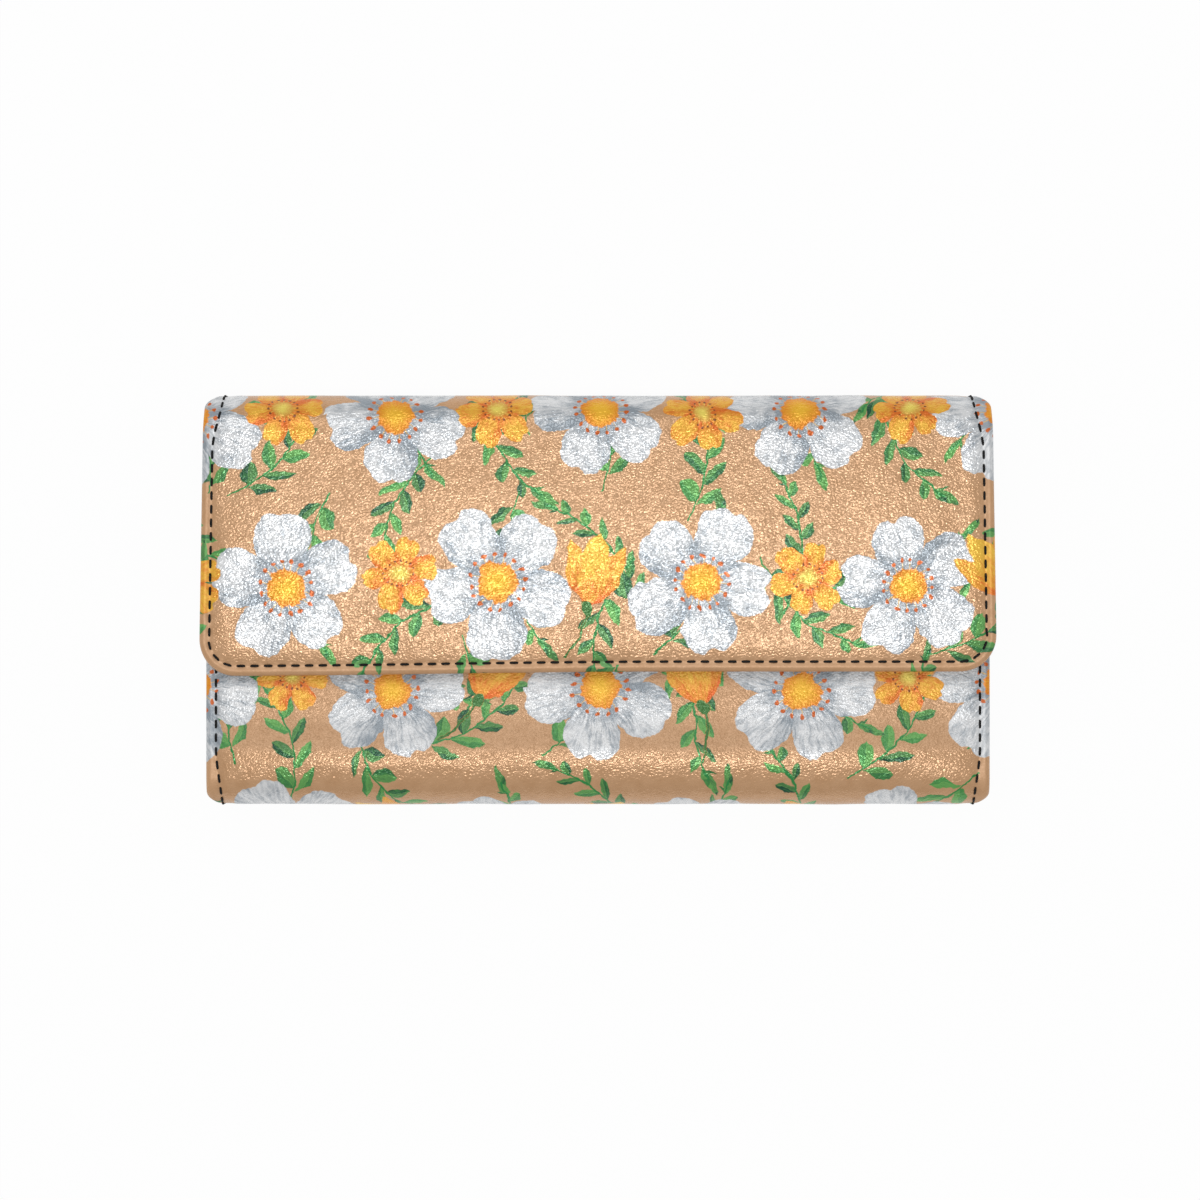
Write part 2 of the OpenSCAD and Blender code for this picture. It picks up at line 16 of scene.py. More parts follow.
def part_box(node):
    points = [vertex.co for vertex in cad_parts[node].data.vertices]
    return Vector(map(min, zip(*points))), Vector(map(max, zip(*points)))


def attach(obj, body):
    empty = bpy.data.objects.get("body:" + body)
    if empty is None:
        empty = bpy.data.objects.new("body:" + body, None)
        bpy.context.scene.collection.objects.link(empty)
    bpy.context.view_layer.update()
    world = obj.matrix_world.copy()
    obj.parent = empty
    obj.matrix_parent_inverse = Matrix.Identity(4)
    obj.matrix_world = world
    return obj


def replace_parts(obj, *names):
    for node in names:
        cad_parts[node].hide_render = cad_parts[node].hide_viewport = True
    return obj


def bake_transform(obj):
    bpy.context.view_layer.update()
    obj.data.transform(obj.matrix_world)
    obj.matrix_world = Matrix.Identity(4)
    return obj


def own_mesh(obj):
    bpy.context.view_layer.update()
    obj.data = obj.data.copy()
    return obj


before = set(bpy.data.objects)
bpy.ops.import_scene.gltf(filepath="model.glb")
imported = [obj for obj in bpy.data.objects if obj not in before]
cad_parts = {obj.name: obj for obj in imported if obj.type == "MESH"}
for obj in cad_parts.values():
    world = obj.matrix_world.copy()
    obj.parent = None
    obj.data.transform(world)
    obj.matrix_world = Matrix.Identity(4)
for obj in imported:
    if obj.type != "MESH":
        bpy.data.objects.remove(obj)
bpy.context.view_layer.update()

# %% [markdown]
# ## Sizes
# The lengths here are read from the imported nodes, so the dressed wallet keeps to the model. Three corner
# radii are given as numbers, because the box of a node doesn't show them. The things that the model leaves
# out also have sizes of their own: the stitches, the puff of the leather beside a seam, and the sag of the
# soft panels. All lengths are in metres.

# %% Read the sizes of the cover from its nodes
MM = 0.001
sheet_scale = 10  # the flat map counts in units of 100 mm

_, back_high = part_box("cover_back")
_, front_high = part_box("cover_front")
flap_low, flap_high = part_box("cover_flap")
fold_low, fold_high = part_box("cover_front_fold")
rear_low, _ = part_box("cover_rear_fold")
bottom_low, bottom_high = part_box("bottom_board")
board_low, board_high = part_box("back_board")
snap_low, snap_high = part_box("snap_stud")

wall = back_high.z
leather = board_low.z
board_top = board_high.z
body_half = back_high.x
fold_half = fold_high.x
flap_half = flap_high.x
y_top = fold_high.y
y_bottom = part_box("cover_bottom_fold")[0].y
y_mouth = front_high.y
y_flap_edge = flap_low.y
z_face = front_high.z
z_top = flap_high.z
front_fold_r = y_top - fold_low.y
rear_fold_r = y_top - rear_low.y
bottom_back_r = bottom_low.z
bottom_front_r = z_face - bottom_high.z
fold_end_r = 2.5 * MM
flap_corner_r = 9 * MM
mouth_corner_r = 2 * MM
print("wall", wall, "leather", leather, "top fold", front_fold_r, "bottom fold", bottom_front_r)

# %% [markdown]
# ## The run of the sheet
# Seen from the side, the sheet is a line of straight stretches and quarter bends. A point of the sheet has
# two numbers: x across the wallet, and v, the distance along the sheet from the flap's lower edge. The run
# turns v into a place and an outward direction, so a shape or a pattern laid out flat follows every fold.

# %% The sheet seen from the side
class Straight:
    """A flat stretch of the sheet, from one point to another in Y and Z."""

    def __init__(self, start, end):
        self.start, self.step = np.array(start), np.array(end) - np.array(start)
        self.length = float(np.hypot(*self.step))

    def at(self, s):
        way = self.step / self.length
        place = self.start + s[:, None] * way
        return place, np.tile([-way[1], way[0]], (len(s), 1))


class Bend:
    """A quarter turn of the sheet about a centre, from a starting angle in degrees, turning inwards."""

    def __init__(self, centre, radius, start):
        self.centre, self.radius, self.start = np.array(centre), radius, math.radians(start)
        self.length = radius * math.pi / 2

    def at(self, s):
        angle = self.start - s / self.radius
        out = np.stack([np.cos(angle), np.sin(angle)], 1)
        return self.centre + self.radius * out, out


y_flap_top = y_top - front_fold_r
y_back_top = y_top - rear_fold_r
y_back_bottom = y_bottom + bottom_back_r
y_front_bottom = y_bottom + bottom_front_r
z_strip_top = z_top - front_fold_r
z_front_bottom = z_face - bottom_front_r

run = {
    "flap": Straight((y_flap_edge, z_top), (y_flap_top, z_top)),
    "front_fold": Bend((y_flap_top, z_strip_top), front_fold_r, 90),
    "strip": Straight((y_top, z_strip_top), (y_top, rear_fold_r)),
    "rear_fold": Bend((y_back_top, rear_fold_r), rear_fold_r, 0),
    "back": Straight((y_back_top, 0), (y_back_bottom, 0)),
    "back_bend": Bend((y_back_bottom, bottom_back_r), bottom_back_r, -90),
    "bottom": Straight((y_bottom, bottom_back_r), (y_bottom, z_front_bottom)),
    "front_bend": Bend((y_front_bottom, z_front_bottom), bottom_front_r, 180),
    "front": Straight((y_front_bottom, z_face), (y_mouth, z_face)),
}
starts = dict(zip(run, np.cumsum([0] + [part.length for part in run.values()])))
sheet_length = sum(part.length for part in run.values())
print("the sheet is", round(sheet_length / MM, 1), "mm long")


def along_run(v):
    """Place in Y and Z, and outward direction, of the outer face at each distance v along the sheet."""
    v = np.asarray(v, float)
    place, out = np.zeros((len(v), 2)), np.zeros((len(v), 2))
    for name, part in run.items():
        inside = (v >= starts[name] - 1e-9) & (v <= starts[name] + part.length + 1e-9)
        place[inside], out[inside] = part.at(v[inside] - starts[name])
    return place, out


# %% [markdown]
# The outline of the sheet is its half width at each v. The flap widens a little towards its lower edge and
# has round corners, and the sheet has a slight waist where it rounds the top and the bottom, because the
# ends of a fold draw in.

# %% The outline of the flat sheet
def corner_inset(distance, radius):
    """How far a round corner draws the side in, at a distance from the end of the sheet."""
    reach = np.clip(radius - distance, 0, radius)
    return radius - np.sqrt(radius**2 - reach**2)


def smooth(low, high, value):
    """0 below low, 1 above high, and a smooth step between."""
    t = np.clip((value - low) / (high - low), 0, 1)
    return t * t * (3 - 2 * t)


def side_width(v):
    """Half width at the widest of the sheet's sides, without corners and waists."""
    return np.interp(v, [0, starts["front_fold"], starts["strip"]], [flap_half, fold_half, body_half])


def straight_half_width(v):
    """Half width without the round corners at the two ends of the sheet."""
    y = along_run(v)[0][:, 0]
    over = np.clip(np.maximum(y - (y_top - fold_end_r), y_bottom + fold_end_r - y), 0, None)
    return side_width(v) - fold_end_r * (over / fold_end_r) ** 2.5


def half_width(v, inset=0.0):
    """Half width of the sheet's outline, or of the same outline drawn inset by a distance."""
    v = np.asarray(v, float)
    width = straight_half_width(v) - inset
    width = width - corner_inset(v - inset, flap_corner_r - inset)
    return width - corner_inset(sheet_length - v - inset, max(mouth_corner_r - inset, 0.1 * MM))


def edge_distance(x, v):
    """Distance from each point of the flat sheet to its outline."""
    side = straight_half_width(v)
    flat = np.minimum(side - np.abs(x), np.minimum(v, sheet_length - v))
    for end, radius in ((v, flap_corner_r), (sheet_length - v, mouth_corner_r)):
        over_x, over_v = np.abs(x) - (side - radius), radius - end
        in_corner = (over_x > 0) & (over_v > 0)
        flat = np.where(in_corner, radius - np.hypot(over_x, over_v), flat)
    return np.maximum(flat, 0)


# %% [markdown]
# ## The seam
# One line of black thread runs round the whole sheet, a little inside its edge. Both the leather's shape
# and the stitches need it: each stitch pulls the leather down at its two holes, and the leather puffs up
# between the seam and the edge. The line leans in before it rounds the top and the bottom, because the
# machine was steered clear of the folds' ends. It is cut where the leather is cut into pieces, so that no
# stitch crosses from one piece to the next, and its points are counted in stitches.

# %% Lay out the stitch line, piece by piece
seam_inset = 2.45 * MM
stitch_pitch = 3.35 * MM
lean_top, lean_bottom, lean_length = 2.0 * MM, 1.3 * MM, 14 * MM

cut_strip = starts["strip"] + run["strip"].length / 2
cut_back = starts["back"] + 10 * MM
piece_spans = {"flap": (0.0, cut_strip), "top": (cut_strip, cut_back), "body": (cut_back, sheet_length)}


def seam_half_width(v):
    """Half width of the stitch line down the sides."""
    y = along_run(v)[0][:, 0]
    lean = lean_top * smooth(y_top - lean_length, y_top, y)
    lean += lean_bottom * smooth(-y_bottom - lean_length, -y_bottom, -y)
    return side_width(v) - seam_inset - lean


def seam_corner():
    """The stitch line's points round the flap's right-hand corner."""
    angle = np.radians(np.linspace(0, 90, 25))
    r = flap_corner_r - seam_inset
    centre_x = straight_half_width(np.zeros(1))[0] - flap_corner_r
    return np.stack([centre_x + r * np.cos(angle), flap_corner_r - r * np.sin(angle)], 1)


def seam_lines(span):
    """The stitch lines of one piece as lists of (x, v): one round its end, or one down each side."""
    low, high = span
    step = 0.4 * MM
    if low == 0:
        v = np.arange(high, flap_corner_r, -step)
        corner = seam_corner()
    elif high == sheet_length:
        v = np.arange(low, sheet_length - mouth_corner_r - seam_inset, step)
        corner = np.array([[half_width(v[-1:])[0] - seam_inset, sheet_length - seam_inset]])
    else:
        v = np.arange(low, high + step / 2, step)
        side = np.stack([seam_half_width(v), v], 1)
        return [side, side * [-1, 1]]
    side = np.stack([seam_half_width(v), v], 1)
    right = np.concatenate([side, corner])
    return [np.concatenate([right, right[::-1] * [-1, 1]])]


def travelled_along(line):
    """How far along a line each of its points lies."""
    return np.concatenate([[0], np.cumsum(np.linalg.norm(np.diff(line, axis=0), axis=1))])


def resampled(at, travelled, values):
    """Values along a line, given where it has been travelled to, read at other places along it."""
    return np.stack([np.interp(at, travelled, column) for column in values.T], 1)


def measured(line):
    """A line made even: its points every fifth of a stitch, with their place counted in stitches."""
    travelled = travelled_along(line)
    count = round(travelled[-1] / stitch_pitch)
    place = np.linspace(0, count, 5 * count + 1)
    return resampled(place * travelled[-1] / count, travelled, line), place


seams = {name: [measured(line) for line in seam_lines(span)] for name, span in piece_spans.items()}
print("stitches round the sheet:", sum(int(place[-1]) for group in seams.values() for _, place in group))

# %% [markdown]
# ## The shape of the soft panels
# A lined panel is never quite flat. The flap crowns a little, and its lower edge settles on to the front wall
# past the snap. The front wall bulges over the notes inside. Sewn leather also has slow, shallow waves.
# These are functions of x and v, so every layer of a panel can share them.

# %% How far each part of the sheet leaves the flat
crest_rise = 0.9 * MM
crest_v = 39.5 * MM
snap_v = (snap_low.y + snap_high.y) / 2 - y_flap_edge
front_bulge = 2.1 * MM
bulge_y = -40 * MM
hang = 1.1 * MM
puff = 0.22 * MM
seam_depth = 0.28 * MM
wave_height = 0.16 * MM


def waves(x, v, size, seed):
    """Slow random waves between about -1 and 1."""
    return np.array([noise.noise(Vector((a / size, b / size, seed))) for a, b in zip(x, v)])


def flap_sag(x, v):
    """Rise of the whole flap above the flat: a crest above the snap, and a fall to its lower edge."""
    below = np.clip(crest_v - v, 0, None) / (crest_v - snap_v)
    above = np.clip((v - crest_v) / (starts["front_fold"] + 5 * MM - crest_v), 0, 1)
    profile = np.where(v < crest_v, 1 - below**1.6, np.cos(above * np.pi / 2) ** 2)
    crest = np.maximum(profile, 0) * (1 - (x / flap_half) ** 6)
    free = np.clip(1 - v / snap_v, 0, 1) ** 2
    ripple = 0.12 * np.sin(x / (17 * MM) + 0.8) + 0.25 * smooth(0.6 * flap_half, flap_half, np.abs(x))
    fall = np.minimum(profile, 0) - (0.25 + ripple) * free
    at_snap = np.exp(-((x / (13 * MM)) ** 2) - ((v - snap_v) / (9 * MM)) ** 2)
    return crest_rise * (crest + fall) * (1 - at_snap)


def flap_hang(x, v):
    """How much lower the flap hangs towards its left end, where the leather has given a little."""
    return hang * smooth(-0.2 * flap_half, flap_half, -x) * (1 - smooth(0, 0.8 * starts["front_fold"], v))


def front_swell(x, v):
    """Swell of the front wall's leather above its board, between the flap's edge and the bottom fold."""
    up = v - starts["front"] - (bulge_y - y_front_bottom)
    away = np.clip(1 - up / (24 * MM), 0, 1)
    near = 1.45 * smooth(-12 * MM, 7 * MM, up)
    blend = np.clip(0.5 + (near - away) / 0.44, 0, 1)
    rise = near + (away - near) * blend - 0.22 * blend * (1 - blend)
    return front_bulge * np.maximum(rise, 0) * (1 - (x / body_half) ** 6)


def settled(v):
    """How far the back draws in under its own weight, so that it rests flat on what it lies on."""
    height = along_run(v)[0][:, 1]
    return (puff + wave_height) * (1 - smooth(0, 4 * MM, height))


def seam_relief(edge, away, place):
    """Puff and groove of the leather, from its distances to the edge and to the stitch line."""
    holes = 0.6 + 0.4 * np.cos(2 * np.pi * place)
    groove = seam_depth * np.exp(-((away / (0.6 * MM)) ** 2)) * holes
    welt = 0.12 * MM * np.exp(-(((edge - 1.2 * MM) / (0.5 * MM)) ** 2))
    return puff * smooth(seam_inset, seam_inset + 3.5 * MM, edge) + welt - groove


# %% [markdown]
# ## Meshes from grids
# Most pieces here are sheets, so one helper closes a sheet into a thin solid: it takes a grid of points for
# the upper face and one for the lower face, and adds walls round the cells that are kept. The leather needs
# its own builder, because its edge is turned under: in section it is a shallow tray round the board.

# %% Turn point grids into closed pieces
def placed(name, data):
    """A new object in the scene that shows some data."""
    thing = bpy.data.objects.new(name, data)
    bpy.context.scene.collection.objects.link(thing)
    return thing


def make_piece(name, points, faces, finish, flat=(), **maps):
    """A mesh object from points and faces, smooth apart from the faces listed in flat, with its UV maps."""
    mesh = bpy.data.meshes.new(name)
    mesh.from_pydata([tuple(p) for p in points], [], faces)
    smooth_faces = np.ones(len(faces), bool)
    smooth_faces[list(flat)] = False
    mesh.polygons.foreach_set("use_smooth", smooth_faces)
    flat_edges = {tuple(sorted(pair)) for k in flat for pair in zip(faces[k], faces[k][1:] + faces[k][:1])}
    ends = np.zeros(2 * len(mesh.edges), np.int32)
    mesh.edges.foreach_get("vertices", ends)
    sharp = [tuple(sorted(pair)) in flat_edges for pair in ends.reshape(-1, 2).tolist()]
    mesh.edges.foreach_set("use_edge_sharp", sharp)
    corners = np.zeros(len(mesh.loops), np.int32)
    mesh.loops.foreach_get("vertex_index", corners)
    for map_name, values in maps.items():
        layer = mesh.uv_layers.new(name=map_name)
        layer.data.foreach_set("uv", np.asarray(values, np.float32)[corners].ravel())
    mesh.materials.append(finish)
    mesh.validate()
    return placed(name, mesh)


def without_spare_points(points, faces, maps):
    """The same faces on only the points that they use, and the values of the maps at those points."""
    used = np.unique([k for face in faces for k in face])
    renumber = np.full(len(points), -1)
    renumber[used] = np.arange(len(used))
    faces = [tuple(int(renumber[k]) for k in face) for face in faces]
    return points[used], faces, {name: values[used] for name, values in maps.items()}


def slab(name, upper, lower, finish, keep=None, **maps):
    """A closed sheet between two grids of points, with walls round the kept cells."""
    rows, columns = upper.shape[:2]
    keep = np.ones((rows - 1, columns - 1), bool) if keep is None else keep
    index = np.arange(rows * columns).reshape(rows, columns)
    under = index + rows * columns
    faces, walls = [], []
    for i, j in zip(*np.nonzero(keep)):
        a, b, c, d = index[i, j], index[i, j + 1], index[i + 1, j + 1], index[i + 1, j]
        e, f, g, h = under[i, j], under[i, j + 1], under[i + 1, j + 1], under[i + 1, j]
        faces += [(a, b, c, d), (e, h, g, f)]
        walls += [(a, e, f, b)] * (i == 0 or not keep[i - 1, j])
        walls += [(c, g, h, d)] * (i == rows - 2 or not keep[i + 1, j])
        walls += [(d, h, e, a)] * (j == 0 or not keep[i, j - 1])
        walls += [(b, f, g, c)] * (j == columns - 2 or not keep[i, j + 1])
    points = np.concatenate([upper.reshape(-1, 3), lower.reshape(-1, 3)])
    maps = {key: np.tile(values.reshape(-1, 2), (2, 1)) for key, values in maps.items()}
    points, faces, maps = without_spare_points(points, faces + walls, maps)
    return make_piece(name, points, faces, finish, range(len(faces) - len(walls), len(faces)), **maps)


def flat_slab(name, x, y, outer_z, inner_z, way, finish, keep=None):
    """A slab laid out flat in X and Y, with its outer face at outer_z, on the side that way points to."""
    outer, inner = (np.stack([x, y, z + 0 * x], 2) for z in (outer_z, inner_z))
    upper, lower = (outer, inner) if way > 0 else (inner, outer)
    return slab(name, upper, lower, finish, keep, sheet=np.stack([x, y], 2) * sheet_scale)


def thickened(grid, thickness):
    """Upper and lower grids at half a thickness on each side of a grid of points."""
    along = np.gradient(grid, axis=0)
    across = np.gradient(grid, axis=1)
    out = np.cross(across, along)
    out /= np.linalg.norm(out, axis=2, keepdims=True)
    return grid + out * thickness / 2, grid - out * thickness / 2


# %% [markdown]
# ## Finishes
# Every finish is a node tree. Writing one node at a time hides the idea, so a small class wraps a socket
# and lets Python's own arithmetic add the Math nodes: `1 - mask * 0.5` builds two nodes and reads as what
# it means. All other nodes come from one method that takes their type, settings and sockets.

# %% A finish, and numbers that change over a surface
class Field:
    """A number that changes over a surface. Arithmetic on it adds Math nodes to its finish."""

    def __init__(self, finish, socket):
        self.finish, self.socket = finish, socket

    def __add__(self, other): return self.finish.math("ADD", self, other)
    def __radd__(self, other): return self.finish.math("ADD", self, other)
    def __sub__(self, other): return self.finish.math("SUBTRACT", self, other)
    def __rsub__(self, other): return self.finish.math("SUBTRACT", other, self)
    def __mul__(self, other): return self.finish.math("MULTIPLY", self, other)
    def __truediv__(self, other): return self.finish.math("DIVIDE", self, other)
    def __pow__(self, other): return self.finish.math("POWER", self, other)
    def __abs__(self): return self.finish.math("ABSOLUTE", self)
    def __gt__(self, other): return self.finish.math("GREATER_THAN", self, other)
    def __lt__(self, other): return self.finish.math("LESS_THAN", self, other)


class Finish:
    """One material and the tools that build its node tree."""

    def __init__(self, name):
        self.material = bpy.data.materials.new(name)
        self.material.use_nodes = True
        self.tree = self.material.node_tree
        self.tree.nodes.clear()

    def feed(self, socket, value):
        value = value.socket if isinstance(value, Field) else value
        if isinstance(value, bpy.types.NodeSocket):
            self.tree.links.new(value, socket)
        else:
            socket.default_value = value

    def node(self, kind, settings=None, sockets=None):
        """Adds a node: its settings first, then what goes into its sockets."""
        made = self.tree.nodes.new(kind)
        for key, value in (settings or {}).items():
            setattr(made, key, value)
        for key, value in (sockets or {}).items():
            self.feed(made.inputs[key], value)
        return made

    def math(self, operation, *values):
        made = self.node("ShaderNodeMath", {"operation": operation}, dict(enumerate(values)))
        return Field(self, made.outputs[0])

    def low(self, a, b): return self.math("MINIMUM", a, b)
    def high(self, a, b): return self.math("MAXIMUM", a, b)
    def share(self, value): return self.low(self.high(value, 0.0), 1.0)
    def length(self, a, b): return self.math("SQRT", a * a + b * b)

    def rise(self, value, start, end):
        """0 where value is below start, 1 above end, and a smooth step between."""
        made = self.node("ShaderNodeMapRange", {"interpolation_type": "SMOOTHSTEP"},
                         {"Value": value, "From Min": start, "From Max": end})
        return Field(self, made.outputs["Result"])

    def point(self, x, y, z=0.0):
        return self.node("ShaderNodeCombineXYZ", sockets={"X": x, "Y": y, "Z": z}).outputs[0]

    def parts(self, vector):
        made = self.node("ShaderNodeSeparateXYZ", sockets={0: vector})
        return [Field(self, made.outputs[k]) for k in range(3)]

    def mix(self, share, a, b):
        """Colour a where share is 0, and b where it is 1."""
        made = self.node("ShaderNodeMix", {"data_type": "RGBA"}, {0: share, 6: a, 7: b})
        return made.outputs[2]

    def random(self, x, y, z=0.0):
        """Three random numbers from 0 to 1, the same all over one cell."""
        made = self.node("ShaderNodeTexWhiteNoise", {"noise_dimensions": "3D"},
                         {"Vector": self.point(x, y, z)})
        return self.parts(made.outputs["Color"])

    def clouds(self, vector, scale, detail=2.0, roughness=0.5):
        """Soft random patches from 0 to 1."""
        made = self.node("ShaderNodeTexNoise", {"noise_dimensions": "3D"},
                         {"Vector": vector, "Scale": scale, "Detail": detail, "Roughness": roughness})
        return Field(self, made.outputs[0])

    def uv(self, name):
        return self.parts(self.node("ShaderNodeUVMap", {"uv_map": name}).outputs[0])

    def bumps(self, height, distance, strength):
        """A normal that shows a height field, where height 1 stands a distance proud."""
        sockets = {"Strength": strength, "Distance": distance, "Height": height}
        return self.node("ShaderNodeBump", sockets=sockets).outputs[0]

    def surface(self, **sockets):
        """The Principled shader with these sockets, as the finish's surface. Returns the material."""
        names = {name.replace("_", " "): value for name, value in sockets.items()}
        shader = self.node("ShaderNodeBsdfPrincipled", sockets=names)
        self.node("ShaderNodeOutputMaterial", sockets={"Surface": shader.outputs[0]})
        return self.material


def paint(red, green, blue):
    """A colour given as it looks on a screen, from 0 to 255, as the shader wants it."""
    shares = [value / 255 for value in (red, green, blue)]
    return tuple(s / 12.92 if s <= 0.04045 else ((s + 0.055) / 1.055) ** 2.4 for s in shares) + (1.0,)


def paints(*colours):
    return [paint(*colour) for colour in colours]


# %% [markdown]
# ### The flower print
# The print is a scatter of white and golden blossoms, golden buds and leaf sprigs on a tan ground, drawn
# as loose watercolour. Each motif lives in the cells of a brick pattern: inside a cell, x and y are
# measured from its middle, and random numbers turn, shift and tint the motif. A motif returns its mask and
# its colour, and the print lays them over each other from the ground up.

# %% Cells, and the shapes inside them
stamens = 16
leaf_angle = math.radians(48)
# Each petal of a bud: its lean, its reach and width as shares of the bud's length, and how dark it is.
bud_petals = ((0.42, 0.46, 0.17, 0.75), (-0.42, 0.46, 0.17, 0.55), (0.0, 0.5, 0.2, 0.0))


def brick_cell(ink, u, v, width, height, shift, seed, jitter):
    """Coordinates in millimetres from the middle of a brick-pattern cell, and random numbers."""
    v_cells = (v - shift[1]) / height
    row = ink.math("FLOOR", v_cells)
    odd = ink.math("MODULO", ink.math("ABSOLUTE", row), 2.0)
    u_cells = (u - shift[0]) / width + odd * 0.5
    column = ink.math("FLOOR", u_cells)
    spin, grow, tint = ink.random(column, row, seed)
    off_x, off_y, kind = ink.random(column, row, seed + 0.37)
    x = (u_cells - column - 0.5) * width + (off_x - 0.5) * jitter
    y = (v_cells - row - 0.5) * height + (off_y - 0.5) * jitter
    return x, y, spin, grow, tint, kind


def turned(ink, x, y, angle):
    cosine, sine = ink.math("COSINE", angle), ink.math("SINE", angle)
    return x * cosine + y * sine, y * cosine - x * sine


def leaf_shape(ink, x, y, half_length, half_width):
    """Distance outside a pointed oval that lies along x."""
    radius = (half_length * half_length + half_width * half_width) / (half_width * 2)
    return ink.length(x, abs(y) + (radius - half_width)) - radius


def inked(ink, distance, softness=0.16):
    """A mask that is 1 inside a shape and fades over its soft edge."""
    return 1 - ink.rise(distance, -softness, softness)


def blossom(ink, x, y, spin, radius, petals, wash, colours):
    """An open flower seen from above. colours: petal, petal shade, centre, centre shade, stamen."""
    petal, shade, heart, heart_shade, stamen = colours
    r = ink.length(x, y)
    sector = 2 * math.pi / petals
    angle = ink.math("ARCTAN2", y, x) + spin * 2 * math.pi
    which = ink.math("ROUND", angle / sector)
    off = angle / sector - which
    across = abs(off) * 2
    own = ink.random(which, spin * 31.7)
    tip = radius * (0.93 + own[0] * 0.14)
    edge = tip * (1 - across**3.2 * 0.44 - (1 - ink.rise(across, 0.0, 0.22)) * 0.055)
    mask = inked(ink, r - edge)
    share = r / radius
    streaks = ink.clouds(ink.point(off * 9, share * 1.1, which), 3.0, 3.0, 0.6)
    side = ink.rise(off, -0.1, 0.55) * own[1]
    base = 1 - ink.rise(share, 0.18, 0.62)
    deep = base * 0.6 + across**3 * 0.5 + side * 0.75 + (streaks - 0.43) * 2.3 + (wash - 0.5) * 2.0
    colour = ink.mix(ink.share(deep), petal, shade)
    rim = inked(ink, abs(r - edge + 0.3), 0.25) * 0.4
    colour = ink.mix(rim, colour, shade)
    rays = angle * (stamens / (2 * math.pi))
    ray = (rays - ink.math("ROUND", rays)) * r * (2 * math.pi / stamens)
    reach = radius * 0.36
    filaments = inked(ink, abs(ray) - 0.09, 0.12) * inked(ink, r - reach, 0.1) * 0.7
    dots = inked(ink, ink.length(ray, r - reach) - radius * 0.03, 0.12)
    ragged = ink.clouds(ink.point(angle * 1.6, spin, share), 2.5) * radius * 0.12
    middle = inked(ink, r - radius * 0.2 - ragged, 0.25)
    heart_wash = ink.share(share * 3.6 - 0.25 + (streaks - 0.5) * 1.4)
    colour = ink.mix(filaments, colour, heart)
    colour = ink.mix(middle, colour, ink.mix(heart_wash, heart, heart_shade))
    return mask, ink.mix(dots, colour, stamen)


def bud(ink, x, y, length, wash, colours):
    """A half-open flower seen from the side, with three petals above a green calyx."""
    light, deep, calyx = colours
    mask, colour = None, None
    for lean, reach, wide, tint in bud_petals:
        px, py = turned(ink, x, y, math.pi / 2 - lean)
        shape = leaf_shape(ink, px - length * reach, py, length * reach, length * wide)
        own_mask = inked(ink, shape)
        streaks = ink.clouds(ink.point(px * 0.12, py * 0.9, lean), 2.4, 3.0, 0.6)
        shade = 1 - ink.rise(px, length * 0.05, length * 0.75)
        depth = ink.share(shade * 0.6 + tint * 0.5 + (streaks - 0.5) * 1.6 + (wash - 0.5))
        own = ink.mix(depth, light, deep)
        own = ink.mix(inked(ink, abs(shape + 0.2), 0.2) * 0.5, own, deep)
        colour = own if colour is None else ink.mix(own_mask, colour, own)
        mask = own_mask if mask is None else ink.high(mask, own_mask)
    cup = inked(ink, ink.length(x * 1.1, y + length * 0.02) - length * 0.1, 0.2)
    stem = inked(ink, abs(x + y * y * (0.35 / length)) - 0.38, 0.14) * ((y < 0.0) * (y > -0.75 * length))
    green = ink.high(cup, stem)
    return ink.high(mask, green), ink.mix(green, colour, calyx)


def sprig(ink, x, y, length, pairs, wash, colours, cell_random):
    """A curved stem with leaves that alternate from side to side and shrink towards its tip."""
    light, mid, dark = colours
    bend = x + (y * y) * (0.55 / length)
    side = bend > 0.0
    pitch = length / (pairs + 0.6)
    travelled = y + length / 2 + side * (pitch * 0.45)
    which = ink.math("FLOOR", travelled / pitch)
    up = travelled - which * pitch - pitch * 0.12
    size = 1.15 - travelled * (0.45 / length)
    out = abs(bend)
    cosine, sine = math.cos(leaf_angle), math.sin(leaf_angle)
    half = size * pitch * 0.6
    px = out * cosine + up * sine - half
    py = up * cosine - out * sine
    shape = leaf_shape(ink, px, py, half, size * pitch * 0.23)
    inside = (y > -0.5 * length) * (y < 0.44 * length)
    mask = inked(ink, shape, 0.13) * inside
    stem = inked(ink, out - 0.26, 0.12) * (y > -0.62 * length) * (y < 0.5 * length)
    tip = inked(ink, leaf_shape(ink, y - length * 0.5, bend, pitch * 0.55, pitch * 0.2), 0.13)
    leaf_random = ink.random(which, side, cell_random * 17.0)[0]
    streaks = ink.clouds(ink.point(px * 0.5, py * 2.2, which), 1.2, 3.0, 0.6)
    depth = ink.share(leaf_random * 0.9 + (streaks - 0.48) * 1.8 + (wash - 0.5) * 0.8)
    halves = ink.rise(py, -0.2, 0.2) * 0.28
    colour = ink.mix(depth, mid, dark)
    colour = ink.mix(halves + (1 - depth) * 0.3, colour, light)
    rib = inked(ink, abs(py) - 0.07, 0.08) * 0.45
    colour = ink.mix(rib, colour, light)
    colour = ink.mix(stem, colour, mid)
    return ink.high(ink.high(mask, stem), tip), colour


